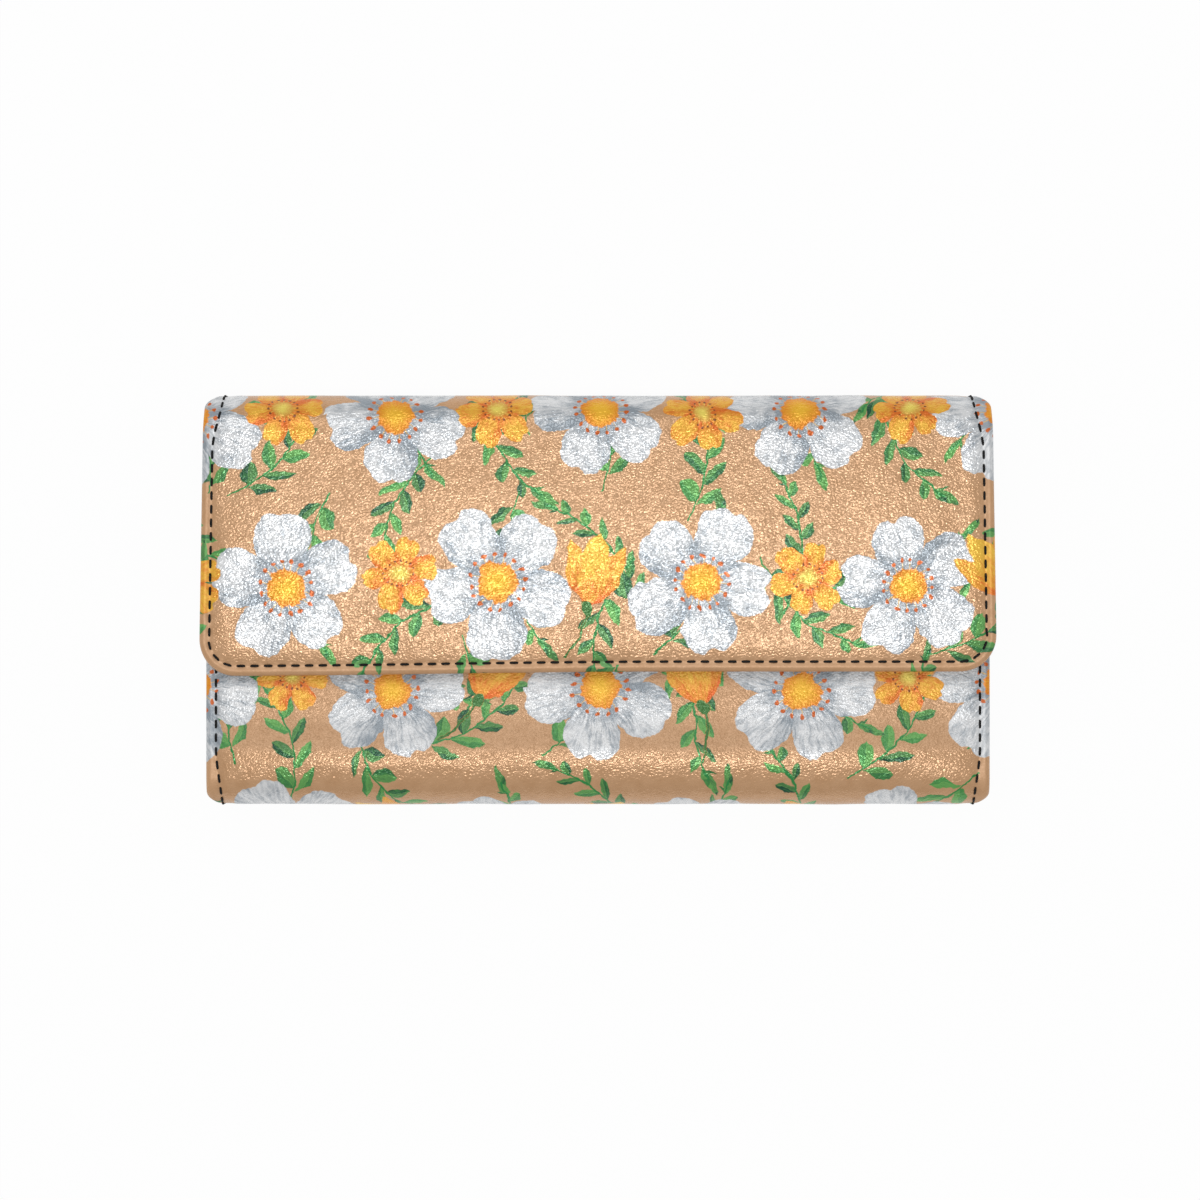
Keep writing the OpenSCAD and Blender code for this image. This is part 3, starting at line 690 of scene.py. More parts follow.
# %% The printed leather
ground = paint(209, 164, 122)
ground_deep = paint(200, 154, 111)
white_petal = paints((232, 233, 234), (150, 159, 167), (250, 192, 46), (226, 108, 14), (205, 96, 18))
gold_petal = paints((246, 190, 64), (226, 112, 24), (246, 222, 100), (206, 100, 20), (130, 66, 20))
bud_colours = paints((248, 198, 70), (230, 104, 22), (60, 118, 50))
leaf_colours = paints((134, 196, 102), (40, 140, 68), (5, 74, 50))
print_cell = (50, 42)
brush_drift = 2.6  # how far the brush strays from a motif's true shape, in millimetres
white_radius, gold_radius, bud_length = 16.8, 8.0, 18.0
# Each layer of sprigs: the shift of its cells, its seed, the length of a stem, and its leaves on a side.
sprig_layers = [((25, 13), 3.0, 31, 5), ((25, -9), 5.0, 30, 4), ((2, 2), 8.0, 36, 5)]


def flower_print(ink):
    """The colour of the print, from the flat sheet's own coordinates."""
    flat_u, flat_v, _ = ink.uv("sheet")
    u, v = flat_u * 100, flat_v * 100
    sheet_point = ink.point(u, v)
    drift = ink.node("ShaderNodeTexNoise", {"noise_dimensions": "2D"},
                     {"Vector": sheet_point, "Scale": 0.16, "Detail": 3.0, "Roughness": 0.62})
    drift_u, drift_v, _ = ink.parts(drift.outputs["Color"])
    u, v = u + (drift_u - 0.5) * brush_drift, v + (drift_v - 0.5) * brush_drift
    wash = ink.clouds(sheet_point, 0.32, 4.0, 0.6)
    colour = ink.mix(ink.rise(wash, 0.3, 0.75), ground, ground_deep)

    for shift, seed, length, pairs in sprig_layers:
        x, y, spin, _, tint, kind = brick_cell(ink, u, v, *print_cell, shift, seed, 4.0)
        x, y = turned(ink, x, y, (spin - 0.5) * 2.4 + (kind > 0.5) * math.pi)
        mask, leaf = sprig(ink, x, y, length, pairs, wash, leaf_colours, tint)
        colour = ink.mix(mask, colour, leaf)

    x, y, spin, grow, _, _ = brick_cell(ink, u, v, *print_cell, (0, 0), 21.0, 3.0)
    mask, petals = blossom(ink, x, y, spin, grow * 2.0 + white_radius, 5, wash, white_petal)
    colour = ink.mix(mask, colour, petals)

    x, y, spin, grow, _, kind = brick_cell(ink, u, v, *print_cell, (25, 2), 33.0, 4.0)
    mask, petals = blossom(ink, x, y, spin, grow * 2.0 + gold_radius, 6, wash, gold_petal)
    colour = ink.mix(mask * (kind > 0.5), colour, petals)
    x, y = turned(ink, x, y, (spin - 0.5) * 2.0)
    mask, petals = bud(ink, x, y + 5, bud_length, wash, bud_colours)
    return ink.mix(mask * (kind < 0.5), colour, petals), sheet_point


def printed_leather():
    """Tan leather with the print under a thin pearly coat, and a fine crinkled grain.

    Handling polishes the flap, the swell of the front and, a little, the strip that a thumb meets when it
    lifts the flap. What the flap shelters keeps its dull finish, and so does the margin along the stitches,
    where the grain was pressed smooth."""
    skin = Finish("printed_leather")
    colour, sheet_point = flower_print(skin)
    x, y, _ = skin.parts(sheet_point)
    crinkle = skin.clouds(skin.point(x * 0.74 + y * 0.1, y * 0.98 - x * 0.2), 1.3, 1.0, 0.4)
    pores = skin.clouds(sheet_point, 1.6, 0.0)
    creases = skin.clouds(sheet_point, 0.14, 2.0, 0.5)
    _, from_edge, _ = skin.uv("seam")
    pressed = 1 - skin.rise(from_edge * 10, 1.8, 4.4)
    rubbed_end = (starts["front"] + bulge_y - y_front_bottom) / MM + 2
    thumb_start = skin.rise(y, rubbed_end + 6, rubbed_end + 11)
    thumbed = thumb_start * (1 - skin.rise(y, rubbed_end + 15, rubbed_end + 18.5))
    sheltered = skin.rise(y, rubbed_end, rubbed_end + 3) * (1 - thumbed * 0.65)
    grain = (abs(crinkle - 0.5) * -1.15 + pores * 0.25) * (1 + sheltered * 0.8) * (1 - pressed * 0.75)
    normal = skin.bumps(grain + creases * 1.4, 0.2 * MM, 1.0)
    dull = skin.high(sheltered * 0.85, pressed * 0.8)
    rough = 0.26 + (pores - 0.5) * 0.15 + dull * 0.22
    return skin.surface(Base_Color=colour, Metallic=0.27 - dull * 0.14, Roughness=rough,
                        Specular_IOR_Level=0.6, Normal=normal)


printed = printed_leather()
print("the print's finish has", len(printed.node_tree.nodes), "nodes")


# %% [markdown]
# ### The plain finishes
# The inside is black: a fine plain weave for the lining, grained leather for the gussets and the card
# pockets, ribbed tape for the zip. The metal parts are nickel plate, with the faint haze of handling.

# %% Lining, black leather, tape, thread, board and metal
def object_point(skin):
    """Millimetres in the object's own frame."""
    where = skin.node("ShaderNodeTexCoord").outputs["Object"]
    return skin.node("ShaderNodeVectorMath", {"operation": "SCALE"}, {0: where, "Scale": 1000.0}).outputs[0]


def woven(name, dark, light, thread):
    """A plain weave on a piece's own flat coordinates: threads that pass over and under in turn."""
    skin = Finish(name)
    flat_u, flat_v, _ = skin.uv("sheet")
    u, v = flat_u * (100 / thread), flat_v * (100 / thread)
    warp = abs(skin.math("SINE", u * math.pi))
    weft = abs(skin.math("SINE", v * math.pi))
    over = skin.math("MODULO", abs(skin.math("FLOOR", u) + skin.math("FLOOR", v)), 2.0)
    height = over * warp + (1 - over) * weft
    slub = skin.clouds(skin.point(u * 0.02, v * 0.3), 2.0, 3.0)
    # The colour is lighter on the crowns of the threads and darker where they dip under, a painted shade that
    # follows the weave's height; the slub adds the cloth's own uneven tone.
    colour = skin.mix(skin.low(height * 0.7 + slub * 0.4, 1.0), dark, light)
    return skin.surface(Base_Color=colour, Roughness=0.75 + slub * 0.1, Sheen_Weight=0.25,
                        Normal=skin.bumps(height, 0.08 * MM, 0.7))


def grained_leather(name, dark, light):
    skin = Finish(name)
    flat_u, flat_v, _ = skin.uv("sheet")
    where = skin.point(flat_u * 100, flat_v * 100)
    cells = skin.node("ShaderNodeTexVoronoi", {"feature": "DISTANCE_TO_EDGE"},
                      {"Vector": where, "Scale": 1.3})
    grain = skin.rise(Field(skin, cells.outputs["Distance"]), 0.0, 0.25)
    patches = skin.clouds(where, 0.12, 4.0, 0.6)
    # The colour is darker along the creases between the pebbles of the grain, a painted shade that follows
    # the grain's height, and lighter or darker in broad patches, the leather's own uneven tone.
    colour = skin.mix(skin.low(grain * 0.5 + patches * 0.6, 1.0), dark, light)
    height = grain + patches * 1.5
    return skin.surface(Base_Color=colour, Roughness=0.4 + (1 - grain) * 0.2 + patches * 0.1,
                        Specular_IOR_Level=0.5, Normal=skin.bumps(height, 0.05 * MM, 0.8))


def ribbed_tape(name):
    skin = Finish(name)
    x, y, _ = skin.parts(object_point(skin))
    ribs = abs(skin.math("SINE", x * (math.pi / 0.7) + y * 2.2))
    fuzz = skin.clouds(object_point(skin), 4.0, 3.0)
    # The colour is lighter on the ribs and darker in the grooves between them, a painted shade that follows
    # the ribs' height; the fuzz adds the tape's own uneven tone.
    colour = skin.mix(skin.low(ribs * 0.7 + fuzz * 0.3, 1.0), paint(16, 16, 18), paint(48, 48, 52))
    return skin.surface(Base_Color=colour, Roughness=0.85 + fuzz * 0.1, Sheen_Weight=0.2,
                        Normal=skin.bumps(ribs, 0.1 * MM, 0.8))


def sewing_thread(name):
    """Twisted thread: its plies run slantwise round each stitch."""
    skin = Finish(name)
    along, around, _ = skin.uv("sheet")
    ply = abs(skin.math("SINE", (along * 4 + around * 2) * math.pi))
    # The colour is lighter on the crown of each ply and darker in the grooves between them, a painted shade
    # that follows the plies' height.
    colour = skin.mix(ply, paint(3, 3, 4), paint(20, 19, 18))
    return skin.surface(Base_Color=colour, Roughness=0.75 - ply * 0.15, Specular_IOR_Level=0.3,
                        Normal=skin.bumps(ply, 0.06 * MM, 0.8))


def plated(name, base, haze):
    skin = Finish(name)
    where = object_point(skin)
    smudge = skin.clouds(where, 0.35, 4.0, 0.65)
    drawn = skin.node("ShaderNodeMapping", sockets={"Vector": where, "Scale": (0.4, 6.0, 6.0)}).outputs[0]
    scratch = skin.clouds(drawn, 1.6, 3.0, 0.7)
    colour = skin.mix(smudge, base, tuple(0.86 * c for c in base[:3]) + (1.0,))
    return skin.surface(Base_Color=colour, Metallic=1.0, Roughness=haze + smudge * 0.14 + scratch * 0.06,
                        Normal=skin.bumps(scratch, 0.02 * MM, 0.35))


def spun(name, base, haze, middle):
    """Plated metal that was pressed and turned: slightly domed, with fine rings round its middle."""
    skin = Finish(name)
    x, y, _ = skin.parts(object_point(skin))
    out = skin.length(x - middle.x / MM, y - middle.y / MM)
    smudge = skin.clouds(object_point(skin), 0.35, 4.0, 0.65)
    height = skin.math("SINE", out * (2 * math.pi / 0.7)) * 0.012 - out * out * 0.014
    return skin.surface(Base_Color=base, Metallic=1.0, Roughness=haze + smudge * 0.14,
                        Normal=skin.bumps(height, 1 * MM, 1.0))


def pressed_board(name):
    skin = Finish(name)
    fibre = skin.clouds(object_point(skin), 1.4, 5.0, 0.7)
    colour = skin.mix(fibre, paint(150, 138, 118), paint(196, 184, 160))
    return skin.surface(Base_Color=colour, Roughness=0.85 + fibre * 0.1,
                        Normal=skin.bumps(fibre, 0.06 * MM, 0.6))


lining_cloth = woven("lining_cloth", paint(22, 22, 24), paint(66, 66, 70), 0.42)
black_leather = grained_leather("black_leather", paint(24, 24, 26), paint(54, 54, 57))
zip_ribbon = ribbed_tape("zip_ribbon")
black_thread = sewing_thread("black_thread")
nickel = plated("nickel", (0.7, 0.69, 0.66, 1.0), 0.2)
spun_nickel = spun("spun_nickel", (0.58, 0.57, 0.55, 1.0), 0.26, (snap_low + snap_high) / 2)
ferrite = plated("ferrite", (0.12, 0.12, 0.13, 1.0), 0.5)
fibre_board = pressed_board("fibre_board")

# %% [markdown]
# ## The leather cover
# The cover is one sheet, but a point can follow at most two bodies of the frame, so it is made in three
# pieces, cut where the sheet is flat and moves as one. Each is a tray: the outer face, a round turned
# edge, and the hem that holds the board. Columns and rows crowd together towards an edge, where the
# surface curves most.

# %% Rows and columns of the cover's grid
edge_steps = np.array([0, 0.04, 0.15, 0.32, 0.55, 0.8, 0.92, 0.96,
                       1.3, 1.7, 2.1, 2.45, 2.8, 3.2, 3.8, 4.6, 5.5]) * MM
fixed_half = 70 * MM
cell = 0.82 * MM
turn_r = wall / 2
hem = leather
seam_reach = 6 * MM
off_seam = 0.5  # a place half way between two stitch holes
rim_columns = list(range(1, 8))
inner_step = 6


def cover_columns(v):
    """X of every column at each row: evenly spaced inside, and following the outline near the edges."""
    width = half_width(v)[:, None]
    reach = edge_steps[-1]
    middle = np.linspace(0, fixed_half, round(fixed_half / cell) + 1)
    outer = np.linspace(0, 1, round((flap_half - reach - fixed_half) / cell) + 1)[1:]
    stretch = fixed_half + outer * (width - reach - fixed_half)
    rim = width - edge_steps[::-1][1:]
    right = np.concatenate([np.tile(middle, (len(v), 1)), stretch, rim], 1)
    return np.concatenate([-right[:, :0:-1], right], 1)


def cover_rows(span):
    """V of every row of a piece: crowded where the sheet ends, evenly spaced elsewhere."""
    low, high = span
    first = edge_steps if low == 0 else np.array([low])
    last = sheet_length - edge_steps[::-1] if high == sheet_length else np.array([high])
    gap = last[0] - first[-1]
    middle = np.linspace(first[-1], last[0], round(gap / cell) + 1)[1:-1]
    return np.concatenate([first, middle, last])


def round_in(distance):
    """Depth of the outer face below the flat near an edge that is turned under in a half round."""
    short = np.clip(turn_r - distance, 0, turn_r)
    return turn_r - np.sqrt(turn_r**2 - short**2)


def seam_place(x, v, span_name):
    """Each point's distance to the stitch line, and its place along it, counted in stitches."""
    place, distance = np.full(len(x), off_seam), np.full(len(x), 10 * MM)
    near = np.nonzero(edge_distance(x, v) < seam_reach)[0]
    line = np.concatenate([points for points, _ in seams[span_name]])
    count = np.concatenate([counted for _, counted in seams[span_name]])
    for part in np.array_split(near, max(1, len(near) // 2000)):
        away = (x[part, None] - line[None, :, 0]) ** 2 + (v[part, None] - line[None, :, 1]) ** 2
        place[part] = count[np.argmin(away, 1)]
        distance[part] = np.sqrt(away.min(1))
    return distance, place


def laid_out(x, v, depth, lift):
    """Points of the folded sheet at a depth below its outer face, lifted off it by lift."""
    place, out = along_run(v)
    raised = place + out * (lift - depth)[:, None]
    raised[:, 0] -= flap_hang(x, v)
    raised[:, 1] += flap_sag(x, v)
    return np.stack([x, raised[:, 0], raised[:, 1]], 1)


# %% Build the three pieces of the cover
def cover_piece(name, span_name):
    """One piece of the leather cover, as a closed tray."""
    span = piece_spans[span_name]
    v_rows = cover_rows(span)
    x = cover_columns(v_rows)
    rows, columns = x.shape
    v = np.tile(v_rows[:, None], (1, columns))
    flat_x, flat_v = x.ravel(), v.ravel()
    edge = edge_distance(flat_x, flat_v)
    away, place = seam_place(flat_x, flat_v, span_name)
    lift = seam_relief(edge, away, place) + front_swell(flat_x, flat_v)
    slow_waves = wave_height * waves(flat_x, flat_v, 13 * MM, 3.0)
    lift += slow_waves * smooth(2 * MM, 9 * MM, edge) - settled(flat_v)
    outer = laid_out(flat_x, flat_v, round_in(edge), lift * smooth(0, 0.8 * MM, edge))

    rim = len(rim_columns) + 1
    inner_columns = (rim_columns + list(range(rim, columns - rim, inner_step))
                     + [columns - 1 - k for k in rim_columns[::-1]])
    inner_x, inner_v = x[:, inner_columns].ravel(), v[:, inner_columns].ravel()
    inner_edge = edge_distance(inner_x, inner_v)
    depth = np.where(inner_edge < hem, wall - round_in(inner_edge), leather)
    swell = np.where(inner_edge < hem, 0, front_swell(inner_x, inner_v))
    inner = laid_out(inner_x, inner_v, depth, swell)

    top = np.arange(rows * columns).reshape(rows, columns)
    under = top.size + np.arange(rows * len(inner_columns)).reshape(rows, len(inner_columns))
    shared = {0: span[0] == 0, rows - 1: span[1] == sheet_length}
    below = [[top[i, 0], *([top[i, k] for k in inner_columns] if shared.get(i) else under[i]), top[i, -1]]
             for i in range(rows)]
    stops = [0, *inner_columns, columns - 1]
    faces = []
    for i in range(rows - 1):
        faces += [(top[i, j], top[i, j + 1], top[i + 1, j + 1], top[i + 1, j]) for j in range(columns - 1)]
        for k in range(len(stops) - 1):
            first, second = (
                list(top[row, stops[k]:stops[k + 1] + 1]) if shared.get(row) else below[row][k:k + 2]
                for row in (i, i + 1))
            faces.append((*second, *first[::-1]))
    caps = []
    for i, way in ((0, 1), (rows - 1, -1)):
        if not shared[i]:
            ring = list(below[i]) + list(top[i, -2:0:-1])
            caps.append(tuple(ring[::way]))
    flat_places = np.concatenate([np.stack([flat_x, flat_v], 1), np.stack([inner_x, inner_v], 1)])
    seam = np.stack([place, edge / (10 * MM)], 1)
    maps = {"sheet": flat_places * sheet_scale,
            "seam": np.concatenate([seam, np.tile([off_seam, 1.0], (len(inner_x), 1))])}
    points, faces, maps = without_spare_points(np.concatenate([outer, inner]), faces + caps, maps)
    flat = range(len(faces) - len(caps), len(faces))
    piece = make_piece(name, points, faces, printed, flat, **maps)
    print(name, "has", len(faces), "faces")
    return piece


leather_flap = cover_piece("leather_flap", "flap")
leather_top = cover_piece("leather_top", "top")
leather_body = cover_piece("leather_body", "body")


def join_flap(piece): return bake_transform(piece)
def join_top(piece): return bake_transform(piece)
def join_body(piece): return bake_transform(piece)


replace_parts(join_flap(leather_flap), "cover_flap", "cover_front_fold")
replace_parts(join_top(leather_top), "cover_top_strip", "cover_rear_fold")
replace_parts(join_body(leather_body), "cover_back", "cover_bottom_fold", "cover_front")

# %% [markdown]
# ## Lining and flap board
# The lining is the second face of the sheet. It fills the tray inside the hem and follows every fold, so
# it is laid out with the same functions at a greater depth. The flap's board settles with the flap, so it
# is laid out that way too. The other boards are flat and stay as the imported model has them.

# %% Build the layers under the leather
def layer(name, span, depths, finish, ends=(0.0, 0.0)):
    """A layer of the sheet between two depths, inside the hem."""
    low, high = span[0] + ends[0], span[1] - ends[1]
    v_rows = np.linspace(low, high, max(12, round((high - low) / (1.3 * MM))))
    share = np.linspace(-1, 1, 121)
    width = half_width(v_rows, lining_inset)
    x, v = share[None, :] * width[:, None], np.tile(v_rows[:, None], (1, len(share)))
    flat_x, flat_v = x.ravel(), v.ravel()
    grids = []
    for depth in depths:
        ease = 0.1 * MM * waves(flat_x, flat_v, 19 * MM, 9.0) if depth == depths[-1] else 0
        depth_here = np.full(len(flat_x), depth) + np.minimum(ease, 0)
        grids.append(laid_out(flat_x, flat_v, depth_here, np.zeros(len(flat_x))).reshape(*x.shape, 3))
    return slab(name, *grids, finish, sheet=np.stack([x, v], 2) * sheet_scale)


lining_inset = hem + 0.05 * MM
glue = 0.02 * MM
lining_depths = (board_top + glue, wall)
lining_flap = layer("lining_flap", piece_spans["flap"], lining_depths, lining_cloth, (lining_inset, 0))
lining_top = layer("lining_top", piece_spans["top"], lining_depths, lining_cloth)
lining_body = layer("lining_body", piece_spans["body"], lining_depths, lining_cloth, (0, lining_inset))
board_flap = layer("board_flap", (0.0, starts["front_fold"]), (leather + glue, board_top), fibre_board,
                   (lining_inset, 0))

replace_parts(join_flap(lining_flap), "flap_lining", "lining_front_fold")
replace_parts(join_top(lining_top), "lining_top_strip", "lining_rear_fold")
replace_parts(join_body(lining_body), "back_lining", "lining_bottom_fold", "front_lining")
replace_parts(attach(board_flap, "flap"), "flap_board")

# %% [markdown]
# ## Stitches
# Each stitch is the same short arch of thread that comes up at one hole and goes down at the next. The
# line of the seam is a path, and Geometry Nodes puts one stitch at each point along it, turned to face
# out of the leather. The tree ends in Realize Instances, and the result is kept as a plain mesh.

# %% One stitch, and a tree that repeats it along a path
stitch_length = 2.15 * MM
stitch_sink = 0.12 * MM
thread_r = 0.31 * MM


def stitch_template():
    """A short arch of thread along X that bulges up and dips below the leather at both ends."""
    sides, rings = 8, 8
    t = np.linspace(-1, 1, rings)
    centre = np.stack([t * stitch_length / 2, 0 * t, (0.62 - 0.85 * t**4) * thread_r], 1)
    girth = thread_r * (1 - 0.35 * np.abs(t) ** 5)
    angle = np.arange(sides) * 2 * np.pi / sides
    ring = np.stack([0 * angle, np.cos(angle), np.sin(angle)], 1)
    points = centre[:, None, :] + girth[:, None, None] * ring[None]
    index = np.arange(rings * sides).reshape(rings, sides)
    faces = [(index[i, j], index[i + 1, j], index[i + 1, (j + 1) % sides], index[i, (j + 1) % sides])
             for i in range(rings - 1) for j in range(sides)]
    faces += [tuple(index[0]), tuple(index[-1][::-1])]
    faces = [tuple(int(k) for k in face) for face in faces]
    twist = np.stack(np.meshgrid(t, np.arange(sides) / sides, indexing="ij"), 2).reshape(-1, 2)
    return make_piece("stitch", points.reshape(-1, 3), faces, black_thread, sheet=twist)


class Steps(Finish):
    """A Geometry Nodes tree, built with the same node() method as a finish."""

    def __init__(self, name, inputs):
        self.tree = bpy.data.node_groups.new(name, "GeometryNodeTree")
        self.sockets = {}
        for label, kind in inputs.items():
            made = self.tree.interface.new_socket(label, in_out="INPUT", socket_type=kind)
            self.sockets[label] = made.identifier
        self.tree.interface.new_socket("Geometry", in_out="OUTPUT", socket_type="NodeSocketGeometry")
        self.given = self.tree.nodes.new("NodeGroupInput").outputs

    def repeat(self, thing, points, material, **turned):
        """Puts a copy of a thing at each point, makes the copies real and gives them their finish."""
        info = self.node("GeometryNodeObjectInfo", {"transform_space": "ORIGINAL"},
                         {"Object": thing, "As Instance": True})
        copies = self.node("GeometryNodeInstanceOnPoints", sockets={
            "Points": points, "Instance": info.outputs["Geometry"], **turned})
        real = self.node("GeometryNodeRealizeInstances", sockets={"Geometry": copies.outputs[0]}).outputs[0]
        dressed = self.node("GeometryNodeSetMaterial", sockets={"Geometry": real, "Material": material})
        self.node("NodeGroupOutput", sockets={"Geometry": dressed.outputs[0]})


def stitch_tree():
    steps = Steps("stitches_on_a_path", {
        "Geometry": "NodeSocketGeometry", "Stitch": "NodeSocketObject", "Count": "NodeSocketInt",
        "Thread": "NodeSocketMaterial"})
    curve = steps.node("GeometryNodeMeshToCurve", sockets={0: steps.given["Geometry"]}).outputs[0]
    points = steps.node("GeometryNodeCurveToPoints", {"mode": "COUNT"},
                        {0: curve, "Count": steps.given["Count"]})
    facing = steps.node("GeometryNodeInputNamedAttribute", {"data_type": "FLOAT_VECTOR"}, {"Name": "facing"})
    turn = steps.node("FunctionNodeAxesToRotation", {"primary_axis": "Z", "secondary_axis": "X"},
                      {0: facing.outputs[0], 1: points.outputs["Tangent"]})
    steps.repeat(steps.given["Stitch"], points.outputs["Points"], steps.given["Thread"],
                 Rotation=turn.outputs[0])
    return steps


def grown(name, seed_piece, steps, **values):
    """The plain mesh that a Geometry Nodes tree grows from a piece. The seed piece is removed."""
    modifier = seed_piece.modifiers.new("grow", "NODES")
    modifier.node_group = steps.tree
    for label, value in values.items():
        modifier[steps.sockets[label.replace("_", " ")]] = value
    view = bpy.context.evaluated_depsgraph_get()
    mesh = bpy.data.meshes.new_from_object(seed_piece.evaluated_get(view))
    mesh.name = name
    mesh.polygons.foreach_set("use_smooth", np.ones(len(mesh.polygons), bool))
    bpy.data.objects.remove(seed_piece)
    return placed(name, mesh)


stitch = stitch_template()
stitching = stitch_tree()


def path_piece(points, facing):
    """A chain of edges that carries the direction that a stitch on it faces."""
    mesh = bpy.data.meshes.new("path")
    mesh.from_pydata([tuple(p) for p in points], [(k, k + 1) for k in range(len(points) - 1)], [])
    mesh.attributes.new("facing", "FLOAT_VECTOR", "POINT").data.foreach_set("vector", facing.ravel())
    return placed("path", mesh)


def sewn_line(name, points, facing):
    """Stitches along a line of points, one per stitch pitch, clear of the line's ends by half a pitch."""
    travelled = travelled_along(points)
    count = max(1, round(travelled[-1] / stitch_pitch))
    half = travelled[-1] / count / 2
    at = np.linspace(half, travelled[-1] - half, 8 * count)
    path = path_piece(resampled(at, travelled, points), resampled(at, travelled, facing))
    return grown(name, path, stitching, Stitch=stitch, Count=count, Thread=black_thread)


# %% Sew the seam round the cover
def joined(name, parts):
    """Several pieces made one."""
    with bpy.context.temp_override(active_object=parts[0], selected_editable_objects=parts):
        bpy.ops.object.join()
    parts[0].name = name
    return parts[0]


def seam_on_sheet(name, span_name, depth=0.0, inwards=False):
    """The stitches of one piece of the cover, on its outer face or on the lining."""
    parts, way = [], -1 if inwards else 1
    for k, (line, _) in enumerate(seams[span_name]):
        x, v = line.T
        lift = (front_swell(x, v) - settled(v)) * (not inwards) - stitch_sink
        points = laid_out(x, v, np.full(len(x), depth), lift * way)
        out = along_run(v)[1] * way
        facing = np.stack([0 * x, out[:, 0], out[:, 1]], 1)
        parts.append(sewn_line(name if len(seams[span_name]) == 1 else f"{name}_{k}", points, facing))
    return joined(name, parts) if len(parts) > 1 else parts[0]


for span_name, join in (("flap", join_flap), ("top", join_top), ("body", join_body)):
    join(seam_on_sheet(f"stitches_{span_name}", span_name))
    join(seam_on_sheet(f"lining_stitches_{span_name}", span_name, wall, True))

# %% [markdown]
# ## Gussets
# A gusset is a strip of thin leather pleated into a W. Its edges are sewn inside the two walls and its
# middle fold holds the coin pocket. It is drawn as a line in X and Z that rounds every fold, and swept
# from the bottom of the wallet to its sloping mouth.

# %% Fold and sweep a gusset
pleat_t = 0.5 * MM
mid_z = z_face / 2
gusset_low, gusset_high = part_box("right_gusset")


def pleat_line():
    """The gusset in X and Z, from the back wall to the front wall, with rounded folds."""
    out_x, in_x = gusset_high.x - pleat_t / 2, gusset_low.x + pleat_t / 2
    half = [(out_x - 5 * MM, wall), (out_x, wall), (in_x, (wall + mid_z) / 2), (out_x, mid_z)]
    corners = np.array(half + [(x, 2 * mid_z - z) for x, z in half[-2::-1]])
    corners[0, 1] += pleat_t / 2
    corners[1] += (0, pleat_t / 2)
    corners[-1, 1] -= pleat_t / 2
    corners[-2] -= (0, pleat_t / 2)
    radius = 1.1 * MM
    line = [corners[0]]
    for before, here, after in zip(corners, corners[1:], corners[2:]):
        a, b = before - here, after - here
        reach = min(radius, 0.45 * np.hypot(*a), 0.45 * np.hypot(*b))
        start, end = here + a / np.hypot(*a) * reach, here + b / np.hypot(*b) * reach
        line += [(1 - t) ** 2 * start + 2 * t * (1 - t) * here + t * t * end for t in np.linspace(0, 1, 7)]
    return np.array(line + [corners[-1]])


def gusset(name, side):
    line = pleat_line()
    travelled = travelled_along(line)
    even = np.linspace(0, travelled[-1], 150)
    x, z = resampled(even, travelled, line).T
    back_reach = np.maximum((bottom_back_r - wall) ** 2 - np.minimum(z - bottom_back_r, 0) ** 2, 0)
    front_reach = np.maximum((bottom_front_r - wall) ** 2 - np.maximum(z - z_front_bottom, 0) ** 2, 0)
    low_y = np.where(z < bottom_back_r, y_back_bottom - np.sqrt(back_reach), y_bottom + wall)
    low_y = np.where(z > z_front_bottom, y_front_bottom - np.sqrt(front_reach), low_y)
    share = (z - wall) / (z_face - 2 * wall)
    high_y = (y_mouth + 4 * MM) * (1 - share) + (y_mouth - 2 * MM) * share
    s = np.linspace(0, 1, 90)[:, None]
    y = low_y + 0.1 * MM + (high_y - low_y) * s
    soft = 0.25 * MM * np.sin(even / (3.1 * MM)) * np.sin(y / (9 * MM) + 1) * np.sin(np.pi * share)
    grid = np.stack([side * (x + soft), y, np.tile(z, (len(s), 1))], 2)
    sheet = np.stack([np.tile(even, (len(s), 1)), y], 2) * sheet_scale
    flip = slice(None, None, -1 if side > 0 else 1)
    upper, lower = thickened(grid[:, flip], pleat_t)
    piece = slab(name, upper, lower, black_leather, sheet=sheet[:, flip])
    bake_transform(piece)
    return piece


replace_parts(gusset("gusset_left", -1), "left_gusset")
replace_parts(gusset("gusset_right", 1), "right_gusset")

# %% [markdown]
# ## Card pockets
# Each bank has a backing and three sheets. A sheet is a full-width band with a narrower leaf behind each
# of its two columns, which is where a card goes. Its top edge is turned over and sewn, and one line of
# stitches down the middle parts the columns.

# %% Cut the card pocket sheets and sew their edges
tier_inset = 5 * MM
tier_band = 9 * MM
bead_steps = np.array([0.15, 0.4, 0.8, 1.4, 2.2, 2.4, 2.7]) * MM
tier_hem = 1.5 * MM


